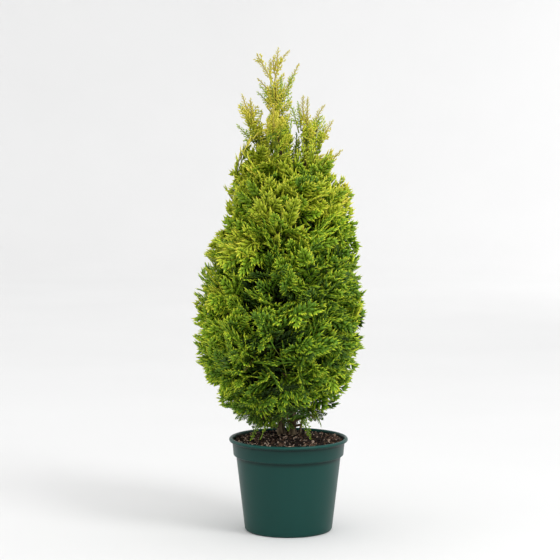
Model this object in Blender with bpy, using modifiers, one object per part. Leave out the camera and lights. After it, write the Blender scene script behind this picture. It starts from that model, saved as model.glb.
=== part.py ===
"""A young dwarf giant arborvitae in its green nursery pot, as separate solids.

Units are metres and +Z is up. The front faces -Y. The origin is the middle of the
pot's flat underside, and the pot's axis is the Z axis. Two upright stems and one thin
one stand on the potting mix, boughs leave the stems, and each bough carries one mass
of flat sprays.
"""

import math
import random
from collections import namedtuple

import bmesh
import bpy
from mathutils import Matrix, Vector
from mathutils.bvhtree import BVHTree

for old in list(bpy.data.objects):
    bpy.data.objects.remove(old, do_unlink=True)

UP = Vector((0.0, 0.0, 1.0))
GAP = 0.0003
SEED = 1907

# The pot: a squat round nursery pot with a rolled rim and a stepped collar. An arc is
# its first and last angle in degrees, and its number of steps.
POT_HEIGHT = 0.220
POT_WALL = 0.0022
POT_FLOOR = 0.0030
POT_STEPS = 36
BEAD_RADIUS = 0.1358
BEAD_HALF_WIDTH = 0.0042
BEAD_HALF_HEIGHT = 0.0045
BEAD_ARC = (175.0, -80.0, 6)
COLLAR_TOP_RADIUS = 0.1327
COLLAR_BASE_RADIUS = 0.1299
COLLAR_BASE = 0.1786
COLLAR_CHAMFER = 0.0016
BODY_TOP_RADIUS = 0.1236
BODY_BASE_RADIUS = 0.1036
FOOT_ROUND = 0.0070
FOOT_ARC = (-6.0, -90.0, 2)
DRAIN_COUNT = 6
DRAIN_SIDES = 10
DRAIN_RADIUS = 0.0070
DRAIN_CIRCLE = 0.0770

# The potting mix: a low mound with a flat patch where the stems stand.
SOIL_TOP = 0.2235
SOIL_PATCH = 0.0330
SOIL_SHOULDER = 0.0800
SOIL_SHOULDER_DROP = 0.0060
SOIL_EDGE_DROP = 0.0145

# Each stem as (x, y, height, radius), from the flat cut at the soil to its tip.
STEM_FOOT = SOIL_TOP + GAP
TRUNK_LINE = (
    (-0.0170, 0.0050, STEM_FOOT, 0.0118),
    (-0.0170, 0.0050, STEM_FOOT + 0.006, 0.0102),
    (-0.0174, 0.0050, STEM_FOOT + 0.018, 0.0090),
    (-0.0186, 0.0050, STEM_FOOT + 0.050, 0.0084),
    (-0.0200, 0.0040, 0.340, 0.0080),
    (-0.0190, 0.0020, 0.450, 0.0073),
    (-0.0150, 0.0010, 0.560, 0.0065),
    (-0.0120, 0.0020, 0.670, 0.0056),
    (-0.0140, 0.0010, 0.780, 0.0046),
    (-0.0200, 0.0000, 0.870, 0.0037),
    (-0.0245, 0.0000, 0.920, 0.0031),
    (-0.0250, 0.0000, 0.945, 0.0028),
)
SIDE_STEM_LINE = (
    (0.0097, -0.0060, STEM_FOOT, 0.0112),
    (0.0097, -0.0060, STEM_FOOT + 0.006, 0.0094),
    (0.0100, -0.0060, STEM_FOOT + 0.018, 0.0080),
    (0.0108, -0.0065, STEM_FOOT + 0.050, 0.0072),
    (0.0132, -0.0080, 0.350, 0.0067),
    (0.0160, -0.0080, 0.460, 0.0061),
    (0.0200, -0.0060, 0.580, 0.0054),
    (0.0260, -0.0060, 0.690, 0.0046),
    (0.0335, -0.0070, 0.780, 0.0038),
    (0.0390, -0.0130, 0.872, 0.0029),
)
THIN_STEM_LINE = (
    (0.0262, 0.0020, STEM_FOOT, 0.0036),
    (0.0262, 0.0020, STEM_FOOT + 0.004, 0.0032),
    (0.0300, 0.0020, 0.250, 0.0029),
    (0.0370, 0.0010, 0.278, 0.0027),
    (0.0430, 0.0000, 0.308, 0.0025),
)
STEM_SIDES = 8
CREASE_ANGLE = math.radians(40.0)
WELD = 1e-6

# The boughs: each leaves its stem some way below its mass, one higher than the last.
# Those that head right within the fork's angle leave the side stem.
BOUGH_SIDES = 5
BOUGH_FOOT_SHARE = 0.56
BOUGH_END_SHARE = 0.45
BOUGH_RISE = {"skirt": 0.000, "lower": 0.022, "middle": 0.026, "upper": 0.028, "shoulder": 0.030}
SPIRE_RISE = 0.024
BOUGH_STAGGER = 0.0145
FORK_SHARE = math.cos(math.radians(55.0))

# The crown: its reach from a leaning middle line, by height above the floor.
CROWN_REACH = (
    (0.228, 0.052),
    (0.262, 0.106),
    (0.300, 0.138),
    (0.350, 0.170),
    (0.410, 0.197),
    (0.460, 0.208),
    (0.560, 0.199),
    (0.650, 0.189),
    (0.730, 0.163),
    (0.800, 0.143),
    (0.860, 0.124),
    (0.930, 0.100),
)
CROWN_MIDDLE = (
    (0.230, -0.012),
    (0.300, -0.017),
    (0.460, -0.024),
    (0.560, -0.019),
    (0.640, -0.014),
    (0.730, -0.005),
    (0.850, -0.003),
    (0.930, -0.008),
)

# A tier is the space between two cones round the middle line: each cone's height at
# the line and its rise per metre outward. It is shared out into equal sectors.
Tier = namedtuple("Tier", "name floor floor_rise roof roof_rise hollow sectors turn lift pitch")
TIERS = (
    Tier("skirt", 0.222, -0.05, 0.286, 0.12, 0.036, 4, 45.0, -20.0, 0.056),
    Tier("lower", 0.289, 0.12, 0.340, 0.50, 0.060, 5, 0.0, 22.0, 0.064),
    Tier("middle", 0.343, 0.50, 0.445, 0.75, 0.056, 5, 36.0, 40.0, 0.068),
    Tier("upper", 0.448, 0.75, 0.575, 0.93, 0.054, 4, 0.0, 50.0, 0.066),
    Tier("shoulder", 0.578, 0.93, 0.795, 1.05, 0.056, 4, 45.0, 57.0, 0.072),
)

# A spire is an upright lobe of the crown's top, on a line from its foot to its summit,
# with its half widths at the foot, the middle and the summit.
Spire = namedtuple("Spire", "name foot summit widths")
SPIRES = (
    Spire("leader", (-0.0250, 0.0000, 0.9453), (-0.0240, 0.0000, 1.1390), (0.022, 0.034, 0.052)),
    Spire("left_spire", (-0.0480, 0.0020, 0.8680), (-0.0980, 0.0000, 1.0180), (0.022, 0.038, 0.026)),
    Spire("right_spire", (0.0390, -0.0130, 0.8723), (0.0440, -0.0340, 1.0200), (0.016, 0.034, 0.026)),
    Spire("far_right_spire", (0.0400, 0.0220, 0.8680), (0.0860, 0.0420, 0.9980), (0.018, 0.034, 0.028)),
    Spire("front_spire", (-0.0140, -0.0440, 0.8680), (-0.0340, -0.0820, 0.9860), (0.020, 0.036, 0.028)),
    Spire("back_spire", (-0.0120, 0.0460, 0.8680), (-0.0260, 0.0820, 0.9900), (0.020, 0.036, 0.028)),
)
SPIRE_LIFT = 66.0
SPIRE_PITCH = 0.064
SPIRE_SPRAY_LENGTH = 0.074

# A mass's own stem runs from its foot, where the bough ends, to its heart, as shares of
# its space: up and out in a sector, and up in a spire. A spire's summit has a ring of
# tips round its topmost one, at shares up and out.
SECTOR_FOOT = 0.42
SECTOR_HEART = (0.52, 0.50)
SPIRE_HEART = 0.66
SUMMIT_RING = (0.97, 0.86)
SUMMIT_TIPS = 3
SETTLE_STEPS = 12

# A spray is a flat fan, as shares of its length. Its fingers spread round its hub, and
# the outer ones are shorter and lean back to its stalk, a half width and a height.
SPRAY_LENGTH = 0.105
SPRAY_HUB = 0.40
SPRAY_FINGERS = 7
SPRAY_SPREAD = math.radians(114.0)
SPRAY_OUTER_FINGER = 0.27
SPRAY_NOTCH = 0.55
SPRAY_STALK = (0.016, 0.14)
SPRAY_HALF_THICKNESS = 0.0022
SPRAY_ROOT = 0.0012
SPIRE_SPRAY_BREADTH = 0.66
SPRAY_RANGE = (0.86, 1.06)

# The twigs, each mass's own stem, and the cores, which are blocks with rounded corners
# in the sectors and slim cones in the spires.
TWIG_SIDES = 3
TWIG_RADIUS = 0.0026
TWIG_FLARE = 1.15
TWIG_TAPER = 0.80
SHORTEST_TWIG = 0.028
MASS_STEM_SIDES = 4
MASS_STEM_RADIUS = 0.0036
ELBOW_LENGTH = 0.010
STRAIGHT = math.radians(4.0)
KNOT_DROP = 0.020
KNOT_FIRST = 0.20
CORE_SHARE = 0.96
CORE_ROUNDING = 0.80
CORE_DEPTH = 0.52
SPIRE_CORE = (0.06, 0.80)
SPIRE_CORE_SHARES = (0.36, 0.10)
SPIRE_CORE_SIDES = 6
LEAST_DEPTH = 0.012

# The seeded rule: tips lie in rows on the outside of a space, a little out of line, and
# a spray is tried again, straying and shrinking, until it fits and crosses few others.
WALK_STEPS = 60
ACROSS_JITTER = 0.2
UP_JITTER = 0.05
UP_RANGE = (0.02, 0.98)
TIP_DEPTHS = (0.95, 1.0)
LIFT_SPREAD = 9.0
SWAY_SPREAD = 14.0
ROLL_SPREAD = 34.0
SPACE_MARGIN = 0.0022
LIMB_MARGIN = 0.0030
PULL_IN = 0.15
TRIES = 40
TIP_STRAY = 0.020
SHORTER = 0.25
MOST_CROSSINGS = 8


def material(name, colour, roughness):
    """A plain Principled material in the part's colour."""
    made = bpy.data.materials.new(name)
    made.use_nodes = True
    shader = made.node_tree.nodes["Principled BSDF"]
    shader.inputs["Base Color"].default_value = (*colour, 1.0)
    shader.inputs["Roughness"].default_value = roughness
    return made


POT_GREEN = material("pot_green", (0.030, 0.085, 0.070), 0.42)
SOIL_BROWN = material("soil_brown", (0.050, 0.036, 0.026), 0.95)
BARK_BROWN = material("bark_brown", (0.120, 0.085, 0.058), 0.88)
SPRAY_GREEN = material("spray_green", (0.130, 0.200, 0.018), 0.62)

model = bpy.data.collections.new("potted_arborvitae")
cutters = bpy.data.collections.new("cutters")
bpy.context.scene.collection.children.link(model)
bpy.context.scene.collection.children.link(cutters)


def new_object(name, mesh, collection, finish=None):
    made = bpy.data.objects.new(name, mesh)
    collection.objects.link(made)
    if finish:
        made.data.materials.append(finish)
    return made


def as_cutter(obj):
    obj.hide_render = True
    obj.display_type = "WIRE"
    return obj


def between(table, height):
    """The value that a (height, value) table gives at a height, on straight lines."""
    if height <= table[0][0]:
        return table[0][1]
    for (low, first), (high, second) in zip(table, table[1:]):
        if height <= high:
            return first + (second - first) * (height - low) / (high - low)
    return table[-1][1]


# The pot and the potting mix in it, both turned about the Z axis.
def turned(name, profile, collection, finish=None):
    """A solid of revolution. The profile runs from the axis down the outer side."""
    mesh = bpy.data.meshes.new(name)
    points = [(radius, 0.0, height) for radius, height in profile]
    mesh.from_pydata(points, [(i, i + 1) for i in range(len(points) - 1)], [])
    made = new_object(name, mesh, collection, finish)
    screw = made.modifiers.new("turn", "SCREW")
    screw.steps = POT_STEPS
    screw.render_steps = POT_STEPS
    screw.use_merge_vertices = True
    screw.merge_threshold = 0.0001
    return made


def arc(centre, half_width, half_height, start, end, steps):
    """Points on an ellipse's arc, from one angle to another in degrees."""
    angles = [math.radians(start + (end - start) * i / steps) for i in range(steps + 1)]
    return [
        (centre[0] + half_width * math.cos(a), centre[1] + half_height * math.sin(a))
        for a in angles
    ]


def make_pot():
    bead_middle = POT_HEIGHT - BEAD_HALF_HEIGHT
    bead = arc((BEAD_RADIUS, bead_middle), BEAD_HALF_WIDTH, BEAD_HALF_HEIGHT, *BEAD_ARC)
    foot_centre = (BODY_BASE_RADIUS - FOOT_ROUND, FOOT_ROUND)
    foot = arc(foot_centre, FOOT_ROUND, FOOT_ROUND, *FOOT_ARC)
    profile = [
        (0.0, POT_FLOOR),
        (BODY_BASE_RADIUS - FOOT_ROUND, POT_FLOOR),
        (BODY_BASE_RADIUS - POT_WALL, FOOT_ROUND),
        (BODY_TOP_RADIUS - POT_WALL, COLLAR_BASE + POT_WALL),
        (COLLAR_BASE_RADIUS - POT_WALL, COLLAR_BASE + POT_WALL),
        *bead,
        (COLLAR_TOP_RADIUS, bead_middle - BEAD_HALF_HEIGHT),
        (COLLAR_BASE_RADIUS, COLLAR_BASE + COLLAR_CHAMFER),
        (COLLAR_BASE_RADIUS - COLLAR_CHAMFER, COLLAR_BASE),
        (BODY_TOP_RADIUS, COLLAR_BASE),
        *foot,
        (0.0, 0.0),
    ]
    pot = turned("pot", profile, model, POT_GREEN)
    for i in range(DRAIN_COUNT):
        angle = math.tau * (i + 0.5) / DRAIN_COUNT
        bpy.ops.mesh.primitive_cylinder_add(
            vertices=DRAIN_SIDES,
            radius=DRAIN_RADIUS,
            depth=4 * POT_FLOOR,
            location=(DRAIN_CIRCLE * math.cos(angle), DRAIN_CIRCLE * math.sin(angle), 0.0),
        )
        drill = as_cutter(bpy.context.object)
        drill.name = f"drain_{i + 1}"
        bpy.context.collection.objects.unlink(drill)
        cutters.objects.link(drill)
        drain = pot.modifiers.new(drill.name, "BOOLEAN")
        drain.operation = "DIFFERENCE"
        drain.object = drill


def make_soil():
    """The mix fills the pot from its floor, a gap inside the wall all the way up."""
    inset = POT_WALL + GAP
    edge = SOIL_TOP - SOIL_EDGE_DROP
    bead_middle = POT_HEIGHT - BEAD_HALF_HEIGHT
    up_collar = (edge - COLLAR_BASE) / (bead_middle - COLLAR_BASE)
    bead_inside = BEAD_RADIUS - BEAD_HALF_WIDTH
    collar_inside = COLLAR_BASE_RADIUS - POT_WALL
    edge_radius = collar_inside + (bead_inside - collar_inside) * up_collar - 2 * GAP
    profile = [
        (0.0, SOIL_TOP),
        (SOIL_PATCH, SOIL_TOP),
        (SOIL_SHOULDER, SOIL_TOP - SOIL_SHOULDER_DROP),
        (edge_radius, edge),
        (COLLAR_BASE_RADIUS - inset - GAP, COLLAR_BASE + inset + GAP),
        (BODY_TOP_RADIUS - inset - GAP, COLLAR_BASE + inset),
        (BODY_BASE_RADIUS - inset - GAP, FOOT_ROUND),
        (BODY_BASE_RADIUS - FOOT_ROUND - 2 * GAP, POT_FLOOR + GAP),
        (0.0, POT_FLOOR + GAP),
    ]
    turned("potting_mix", profile, model, SOIL_BROWN)


# Stems and boughs: tapered tubes along a line of (x, y, height, radius) points.
def limb_mesh(line, sides):
    """A closed tube of the line's own radii, with flat cuts at both ends."""
    curve = bpy.data.curves.new("limb", "CURVE")
    curve.dimensions = "3D"
    curve.bevel_depth = 1.0
    curve.bevel_mode = "OBJECT"
    curve.use_fill_caps = True
    ring = bpy.data.curves.new("ring", "CURVE")
    ring.dimensions = "2D"
    outline = ring.splines.new("POLY")
    outline.points.add(sides - 1)
    outline.use_cyclic_u = True
    for i, point in enumerate(outline.points):
        angle = math.tau * (i + 0.5) / sides
        point.co = (math.cos(angle), math.sin(angle), 0.0, 1.0)
    section = bpy.data.objects.new("ring", ring)
    curve.bevel_object = section
    spline = curve.splines.new("POLY")
    spline.points.add(len(line) - 1)
    for point, (x, y, height, radius) in zip(spline.points, line):
        point.co = (x, y, height, 1.0)
        point.radius = radius
    holder = bpy.data.objects.new("limb", curve)
    bpy.context.scene.collection.objects.link(section)
    bpy.context.scene.collection.objects.link(holder)
    bpy.context.view_layer.update()
    graph = bpy.context.evaluated_depsgraph_get()
    mesh = bpy.data.meshes.new_from_object(holder.evaluated_get(graph))
    bpy.data.objects.remove(holder)
    bpy.data.objects.remove(section)
    welded = bmesh.new()
    welded.from_mesh(mesh)
    bmesh.ops.remove_doubles(welded, verts=welded.verts, dist=WELD)
    bmesh.ops.recalc_face_normals(welded, faces=welded.faces)
    welded.to_mesh(mesh)
    welded.free()
    return mesh


def make_stem(name, line):
    """The stem, and a cutter a gap wider that trims the feet of its boughs."""
    stem = new_object(name, limb_mesh(line, STEM_SIDES), model, BARK_BROWN)
    stem.data.set_sharp_from_angle(angle=CREASE_ANGLE)
    wider = [(x, y, height, radius + GAP) for x, y, height, radius in line]
    cutter = new_object(f"{name}_clearance", limb_mesh(wider, STEM_SIDES), cutters)
    as_cutter(cutter)
    return cutter


def on_line(line, height):
    """The point and radius of a stem at a height."""
    x = between([(h, x) for x, y, h, r in line], height)
    y = between([(h, y) for x, y, h, r in line], height)
    radius = between([(h, r) for x, y, h, r in line], height)
    return Vector((x, y, height)), radius


def make_bough(name, line, stem, start_height, tip, heading):
    """One tapering limb from inside its stem, trimmed clear of it, up to its tip."""
    start, stem_radius = on_line(line, start_height)
    foot_radius = BOUGH_FOOT_SHARE * stem_radius
    tip_radius = MASS_STEM_RADIUS
    elbow = tip - heading * BOUGH_END_SHARE * (tip - start).length
    points = [start, elbow, tip]
    radii = [max(foot_radius, tip_radius), (foot_radius + tip_radius) / 2, tip_radius]
    sizes = [(*point, radius) for point, radius in zip(points, radii)]
    bough = new_object(name, limb_mesh(sizes, BOUGH_SIDES), model, BARK_BROWN)
    trim = bough.modifiers.new("clear_of_stem", "BOOLEAN")
    trim.operation = "DIFFERENCE"
    trim.object = stem
    LIMBS.append(sizes)


# The spaces that the masses keep to.
class Sector:
    """One sector of a tier. place() maps shares of it to a point in the crown."""

    def __init__(self, tier, number):
        self.tier = tier
        self.half = math.pi / tier.sectors
        self.azimuth = math.radians(tier.turn) + 2 * self.half * number
        self.name = f"{tier.name}_{side_word(self.azimuth)}"
        self.lift = math.radians(tier.lift)
        self.pitch = tier.pitch
        self.spray_length = SPRAY_LENGTH
        self.breadth = 1.0
        self.foot = self.place(0.0, SECTOR_FOOT, 0.0)

    def floor(self, radius):
        return self.tier.floor + self.tier.floor_rise * radius

    def roof(self, radius):
        return self.tier.roof + self.tier.roof_rise * radius

    def place(self, across, up, out, inset=0.0):
        """The point at shares of the sector's width, height and depth, some way inside."""
        azimuth = self.azimuth + across * self.half
        radius = self.tier.hollow
        for _ in range(SETTLE_STEPS):
            height = self.floor(radius) + up * (self.roof(radius) - self.floor(radius))
            depth = max(between(CROWN_REACH, height) - inset - self.tier.hollow, LEAST_DEPTH)
            radius = self.tier.hollow + out * depth
        middle = between(CROWN_MIDDLE, height)
        return Vector(
            (middle + radius * math.cos(azimuth), radius * math.sin(azimuth), height)
        )

    def holds(self, point, margin):
        arm = Vector((point.x - between(CROWN_MIDDLE, point.z), point.y))
        radius = arm.length
        turn = math.atan2(arm.y, arm.x) - self.azimuth
        turn = abs((turn + math.pi) % math.tau - math.pi)
        beside = radius * math.sin(max(self.half - turn, 0.0))
        return (
            turn < self.half
            and beside > margin
            and self.tier.hollow + margin < radius < between(CROWN_REACH, point.z) + GAP
            and self.floor(radius) + margin < point.z < self.roof(radius) - margin
        )

    def outward(self, point):
        return Vector((point.x - between(CROWN_MIDDLE, point.z), point.y, 0)).normalized()

    def girth(self, up):
        """The length round the outside of the space at a height."""
        arm = self.place(0.0, up, 1.0)
        return 2 * self.half * Vector((arm.x - between(CROWN_MIDDLE, arm.z), arm.y)).length

    def heart(self):
        return self.place(0.0, *SECTOR_HEART)

    def first_tips(self):
        return []

    def add_core(self, collection):
        """A block with rounded corners that fills the inner part of a dense sector."""
        if self.tier.name == "skirt":
            return
        inset = CORE_DEPTH * self.spray_length * math.cos(self.lift)
        shape = bmesh.new()
        bmesh.ops.create_cube(shape, size=2.0)
        bmesh.ops.subdivide_edges(shape, edges=shape.edges, cuts=1, use_grid_fill=True)
        for corner in shape.verts:
            across, up, out = corner.co.lerp(corner.co.normalized(), CORE_ROUNDING) * CORE_SHARE
            corner.co = self.place(across, (1 + up) / 2, (1 + out) / 2, inset)
        placed(shape, collection, Matrix.Identity(4))


class SpireSpace:
    """The space of an upright lobe, round the line from its foot to its summit."""

    def __init__(self, spire):
        self.name = spire.name
        self.foot = Vector(spire.foot)
        self.summit = Vector(spire.summit)
        self.axis = (self.summit - self.foot).normalized()
        self.height = (self.summit - self.foot).length
        self.side = self.axis.orthogonal().normalized()
        self.widths = tuple(zip((0.0, 0.5, 1.0), spire.widths))
        self.lift = math.radians(SPIRE_LIFT)
        self.pitch = SPIRE_PITCH
        self.spray_length = SPIRE_SPRAY_LENGTH
        self.breadth = SPIRE_SPRAY_BREADTH

    def half_width(self, up):
        return between(self.widths, up)

    def place(self, across, up, out):
        turn = Matrix.Rotation(across * math.pi, 3, self.axis)
        arm = turn @ self.side * self.half_width(up) * out
        return self.foot + self.axis * self.height * up + arm

    def holds(self, point, margin):
        up = (point - self.foot).dot(self.axis) / self.height
        arm = point - self.foot - self.axis * self.height * up
        return 0.0 <= up <= 1.0 and arm.length < self.half_width(up) - margin

    def outward(self, point):
        up = (point - self.foot).dot(self.axis)
        arm = point - self.foot - self.axis * up
        return (arm if arm.length > GAP else self.side).normalized()

    def girth(self, up):
        return math.tau * self.half_width(up)

    def heart(self):
        return self.foot + self.axis * self.height * SPIRE_HEART

    def first_tips(self):
        """The topmost tips, so that the lobe reaches its summit."""
        ring = [self.place(2 * i / SUMMIT_TIPS - 1, *SUMMIT_RING) for i in range(SUMMIT_TIPS)]
        return [self.place(0.0, 1.0, 0.0), *ring]

    def add_core(self, collection):
        """A slim cone up the middle of the lobe, save on the open leader."""
        if self.name == "leader":
            return
        low, high = (self.foot + self.axis * self.height * up for up in SPIRE_CORE)
        wide, narrow = (self.half_width(0.5) * share for share in SPIRE_CORE_SHARES)
        twig_piece(collection, low, high, wide, narrow, SPIRE_CORE_SIDES)


def side_word(azimuth):
    """A plain word for a side of the plant. The front is -Y and the right is +X."""
    words = ("right", "back_right", "back", "back_left", "left", "front_left", "front", "front_right")
    return words[round(math.degrees(azimuth) % 360 / 45) % 8]


# Foliage: pieces of one mass are built apart, then joined by one union.
def placed(shape, collection, matrix):
    """The shape as an object of the collection, with its faces pointing out."""
    mesh = bpy.data.meshes.new("piece")
    shape.transform(matrix)
    bmesh.ops.recalc_face_normals(shape, faces=shape.faces)
    if shape.calc_volume(signed=True) < 0:
        bmesh.ops.reverse_faces(shape, faces=shape.faces)
    shape.to_mesh(mesh)
    shape.free()
    return new_object("piece", mesh, collection)


def twig_piece(collection, start, end, start_radius, end_radius, sides=TWIG_SIDES):
    """A tapering twig, a mass's own stem or a slim core."""
    shape = bmesh.new()
    length = (end - start).length
    bmesh.ops.create_cone(
        shape,
        cap_ends=True,
        segments=sides,
        radius1=start_radius,
        radius2=end_radius,
        depth=length,
    )
    turn = (end - start).to_track_quat("Z", "Y").to_matrix().to_4x4()
    return placed(shape, collection, Matrix.Translation((start + end) / 2) @ turn)


def spray_points():
    """A flat fan's rim, from its stalk's left round its finger tips and the notches."""
    rim = [(-SPRAY_STALK[0], SPRAY_STALK[1])]
    steps = 2 * (SPRAY_FINGERS - 1)
    for step in range(steps + 1):
        angle = SPRAY_SPREAD * (2 * step / steps - 1)
        outward = abs(angle) / SPRAY_SPREAD
        reach = (1.0 - SPRAY_HUB) + (SPRAY_OUTER_FINGER - 1.0 + SPRAY_HUB) * outward
        if step % 2:
            reach *= SPRAY_NOTCH
        rim.append((reach * math.sin(angle), SPRAY_HUB + reach * math.cos(angle)))
    rim.append(SPRAY_STALK)
    return rim


SPRAY_RIM = spray_points()


def spray_corners(root, tip, side, breadth):
    """The rim and hubs of one spray in place, for a tip and a direction of its width."""
    along = tip - root
    length = along.length
    normal = along.cross(side).normalized()
    across = normal.cross(along).normalized()
    rim = [root + along * y + across * length * breadth * x for x, y in SPRAY_RIM]
    rim.append(root - along.normalized() * SPRAY_ROOT)
    hub = root + along * SPRAY_HUB
    return rim, (hub + normal * SPRAY_HALF_THICKNESS, hub - normal * SPRAY_HALF_THICKNESS)


def spray_piece(collection, rim, hubs):
    """A toothed blade with a low keel on both faces and an edge drawn thin."""
    shape = bmesh.new()
    edge = [shape.verts.new(point) for point in rim]
    for hub in hubs:
        top = shape.verts.new(hub)
        for first, second in zip(edge, edge[1:] + edge[:1]):
            shape.faces.new((first, second, top))
    return placed(shape, collection, Matrix.Identity(4))


def clear_of_limbs(point):
    for line in LIMBS:
        for low, high in zip(line, line[1:]):
            start, end = Vector(low[:3]), Vector(high[:3])
            along = end - start
            share = min(max((point - start).dot(along) / along.length_squared, 0.0), 1.0)
            if (start + along * share - point).length < max(low[3], high[3]) + LIMB_MARGIN:
                return False
    return True


def fits(space, points):
    return all(space.holds(p, SPACE_MARGIN) and clear_of_limbs(p) for p in points)


def tip_places(space, dice):
    """Shares (across, up) spread evenly over the outside of a space, row by row."""
    walk = [space.place(0.0, i / WALK_STEPS, 1.0) for i in range(WALK_STEPS + 1)]
    lengths = [0.0]
    for low, high in zip(walk, walk[1:]):
        lengths.append(lengths[-1] + (high - low).length)
    rows = max(1, round(lengths[-1] / space.pitch))
    places = []
    for row in range(rows):
        wanted = lengths[-1] * (row + 0.5) / rows
        up = next(i for i, length in enumerate(lengths) if length >= wanted) / WALK_STEPS
        columns = max(2, round(space.girth(up) / space.pitch))
        for column in range(columns):
            shift = dice.uniform(-ACROSS_JITTER, ACROSS_JITTER) + 0.5 * (row % 2)
            across = 2 * (column + 0.5 + shift) / columns % 2.0 - 1.0
            height = up + dice.uniform(-UP_JITTER, UP_JITTER)
            places.append((across, min(max(height, UP_RANGE[0]), UP_RANGE[1])))
    return places


def fan_tree(rim, hubs):
    """The spray's faces past its stalk, to find what they would cross."""
    points = [*rim[:-1], *hubs]
    last = len(points)
    faces = [(i, i + 1, hub) for i in range(len(rim) - 2) for hub in (last - 2, last - 1)]
    return BVHTree.FromPolygons(points, faces)


def spray_for(space, root, tip, others, dice):
    """A spray from root to near tip, in its space and across its neighbours least, or None."""
    best = None
    for attempt in range(TRIES):
        stray = TIP_STRAY * attempt / TRIES
        near = tip + Vector([dice.uniform(-stray, stray) for _ in range(3)])
        along = (near - root) * (1.0 - SHORTER * dice.random() * attempt / TRIES)
        level = along.cross(UP)
        if level.length < GAP:
            level = Vector((1.0, 0.0, 0.0))
        roll = Matrix.Rotation(math.radians(dice.gauss(0.0, ROLL_SPREAD)), 3, along.normalized())
        rim, hubs = spray_corners(root, root + along, roll @ level, space.breadth)
        if not (fits(space, rim) and fits(space, hubs)):
            continue
        tree = fan_tree(rim, hubs)
        crossings = sum(len(tree.overlap(other)) for other in others)
        if best is None or crossings < best[0]:
            best = (crossings, rim, hubs, tree)
        if crossings == 0:
            break
    return best[1:] if best and best[0] <= MOST_CROSSINGS else None


def spray_root(space, tip, dice):
    """Where a spray that ends at tip leaves its twig."""
    lift = space.lift + math.radians(dice.gauss(0.0, LIFT_SPREAD))
    sway = Matrix.Rotation(math.radians(dice.gauss(0.0, SWAY_SPREAD)), 3, "Z")
    aim = sway @ space.outward(tip) * math.cos(lift) + UP * math.sin(lift)
    return tip - aim * space.spray_length * dice.uniform(*SPRAY_RANGE)


def nearest_knot(start, end, point):
    """The point of a mass's own stem nearest another point, some way past its foot."""
    along = end - start
    share = (point - start).dot(along) / along.length_squared
    return start + along * min(max(share, KNOT_FIRST), 1.0)


def grow_mass(space, approach):
    """One mass: its own stem, a core where it is dense, twigs, and sprays on the twigs."""
    dice = random.Random(f"{SEED} {space.name}")
    pieces = bpy.data.collections.new(f"{space.name}_pieces")
    bpy.context.scene.collection.children.link(pieces)
    start = space.foot + approach * GAP
    heart = space.heart()
    if approach.angle(heart - start) > STRAIGHT:
        foot = start
        start = foot + approach * ELBOW_LENGTH
        bend = start + approach * TWIG_RADIUS
        twig_piece(pieces, foot, bend, MASS_STEM_RADIUS, TWIG_RADIUS, MASS_STEM_SIDES)
    stem = twig_piece(pieces, start, heart, MASS_STEM_RADIUS, TWIG_RADIUS, MASS_STEM_SIDES)
    space.add_core(pieces)
    fans = []
    tips = space.first_tips()
    for across, up in tip_places(space, dice):
        tips.append(space.place(across, up, dice.uniform(*TIP_DEPTHS)))
    for tip in tips:
        root = spray_root(space, tip, dice)
        for _ in range(TRIES):
            if fits(space, [root]):
                break
            root = root.lerp(heart, PULL_IN)
        else:
            continue
        knot = nearest_knot(start, heart, root - UP * KNOT_DROP)
        near = (root - knot).length < SHORTEST_TWIG
        if near:
            root = nearest_knot(start, heart, root)
        spray = spray_for(space, root, tip, fans, dice)
        if spray is None:
            continue
        rim, hubs, fan = spray
        fans.append(fan)
        if not near:
            past = (root - knot).normalized() * TWIG_RADIUS
            flare, taper = TWIG_RADIUS * TWIG_FLARE, TWIG_RADIUS * TWIG_TAPER
            twig_piece(pieces, knot, root + past, flare, taper)
        spray_piece(pieces, rim, hubs)
    fuse(f"foliage_{space.name}", stem, pieces)


def fuse(name, first, pieces):
    """Joins a mass's pieces by one union, and keeps the one closed body they make."""
    pieces.objects.unlink(first)
    model.objects.link(first)
    union = first.modifiers.new("union", "BOOLEAN")
    union.operation = "UNION"
    union.operand_type = "COLLECTION"
    union.collection = pieces
    union.solver = "MANIFOLD"
    bpy.context.view_layer.update()
    graph = bpy.context.evaluated_depsgraph_get()
    joined = bpy.data.meshes.new_from_object(first.evaluated_get(graph))
    first.modifiers.clear()
    for piece in list(pieces.objects):
        bpy.data.objects.remove(piece, do_unlink=True)
    bpy.data.collections.remove(pieces)
    keep_main_body(joined)
    first.data = joined
    first.name = name
    joined.name = name
    joined.materials.clear()
    joined.materials.append(SPRAY_GREEN)


def keep_main_body(mesh):
    """Drops loose scraps, and sealed hollows so that they are filled."""
    shape = bmesh.new()
    shape.from_mesh(mesh)
    bmesh.ops.triangulate(shape, faces=shape.faces)
    waiting = set(shape.faces)
    bodies = []
    while waiting:
        body = [waiting.pop()]
        for face in body:
            for edge in face.edges:
                for other in edge.link_faces:
                    if other in waiting:
                        waiting.remove(other)
                        body.append(other)
        bodies.append(body)
    bodies.sort(key=len, reverse=True)
    scraps = [face for body in bodies[1:] for face in body]
    bmesh.ops.delete(shape, geom=scraps, context="FACES")
    shape.to_mesh(mesh)
    shape.free()


make_pot()
make_soil()

LIMBS = [TRUNK_LINE, SIDE_STEM_LINE, THIN_STEM_LINE]
trunk_cutter = make_stem("trunk", TRUNK_LINE)
side_stem_cutter = make_stem("side_stem", SIDE_STEM_LINE)
make_stem("thin_stem", THIN_STEM_LINE)
CROWNED_STEMS = {"leader": TRUNK_LINE, "right_spire": SIDE_STEM_LINE}


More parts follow.
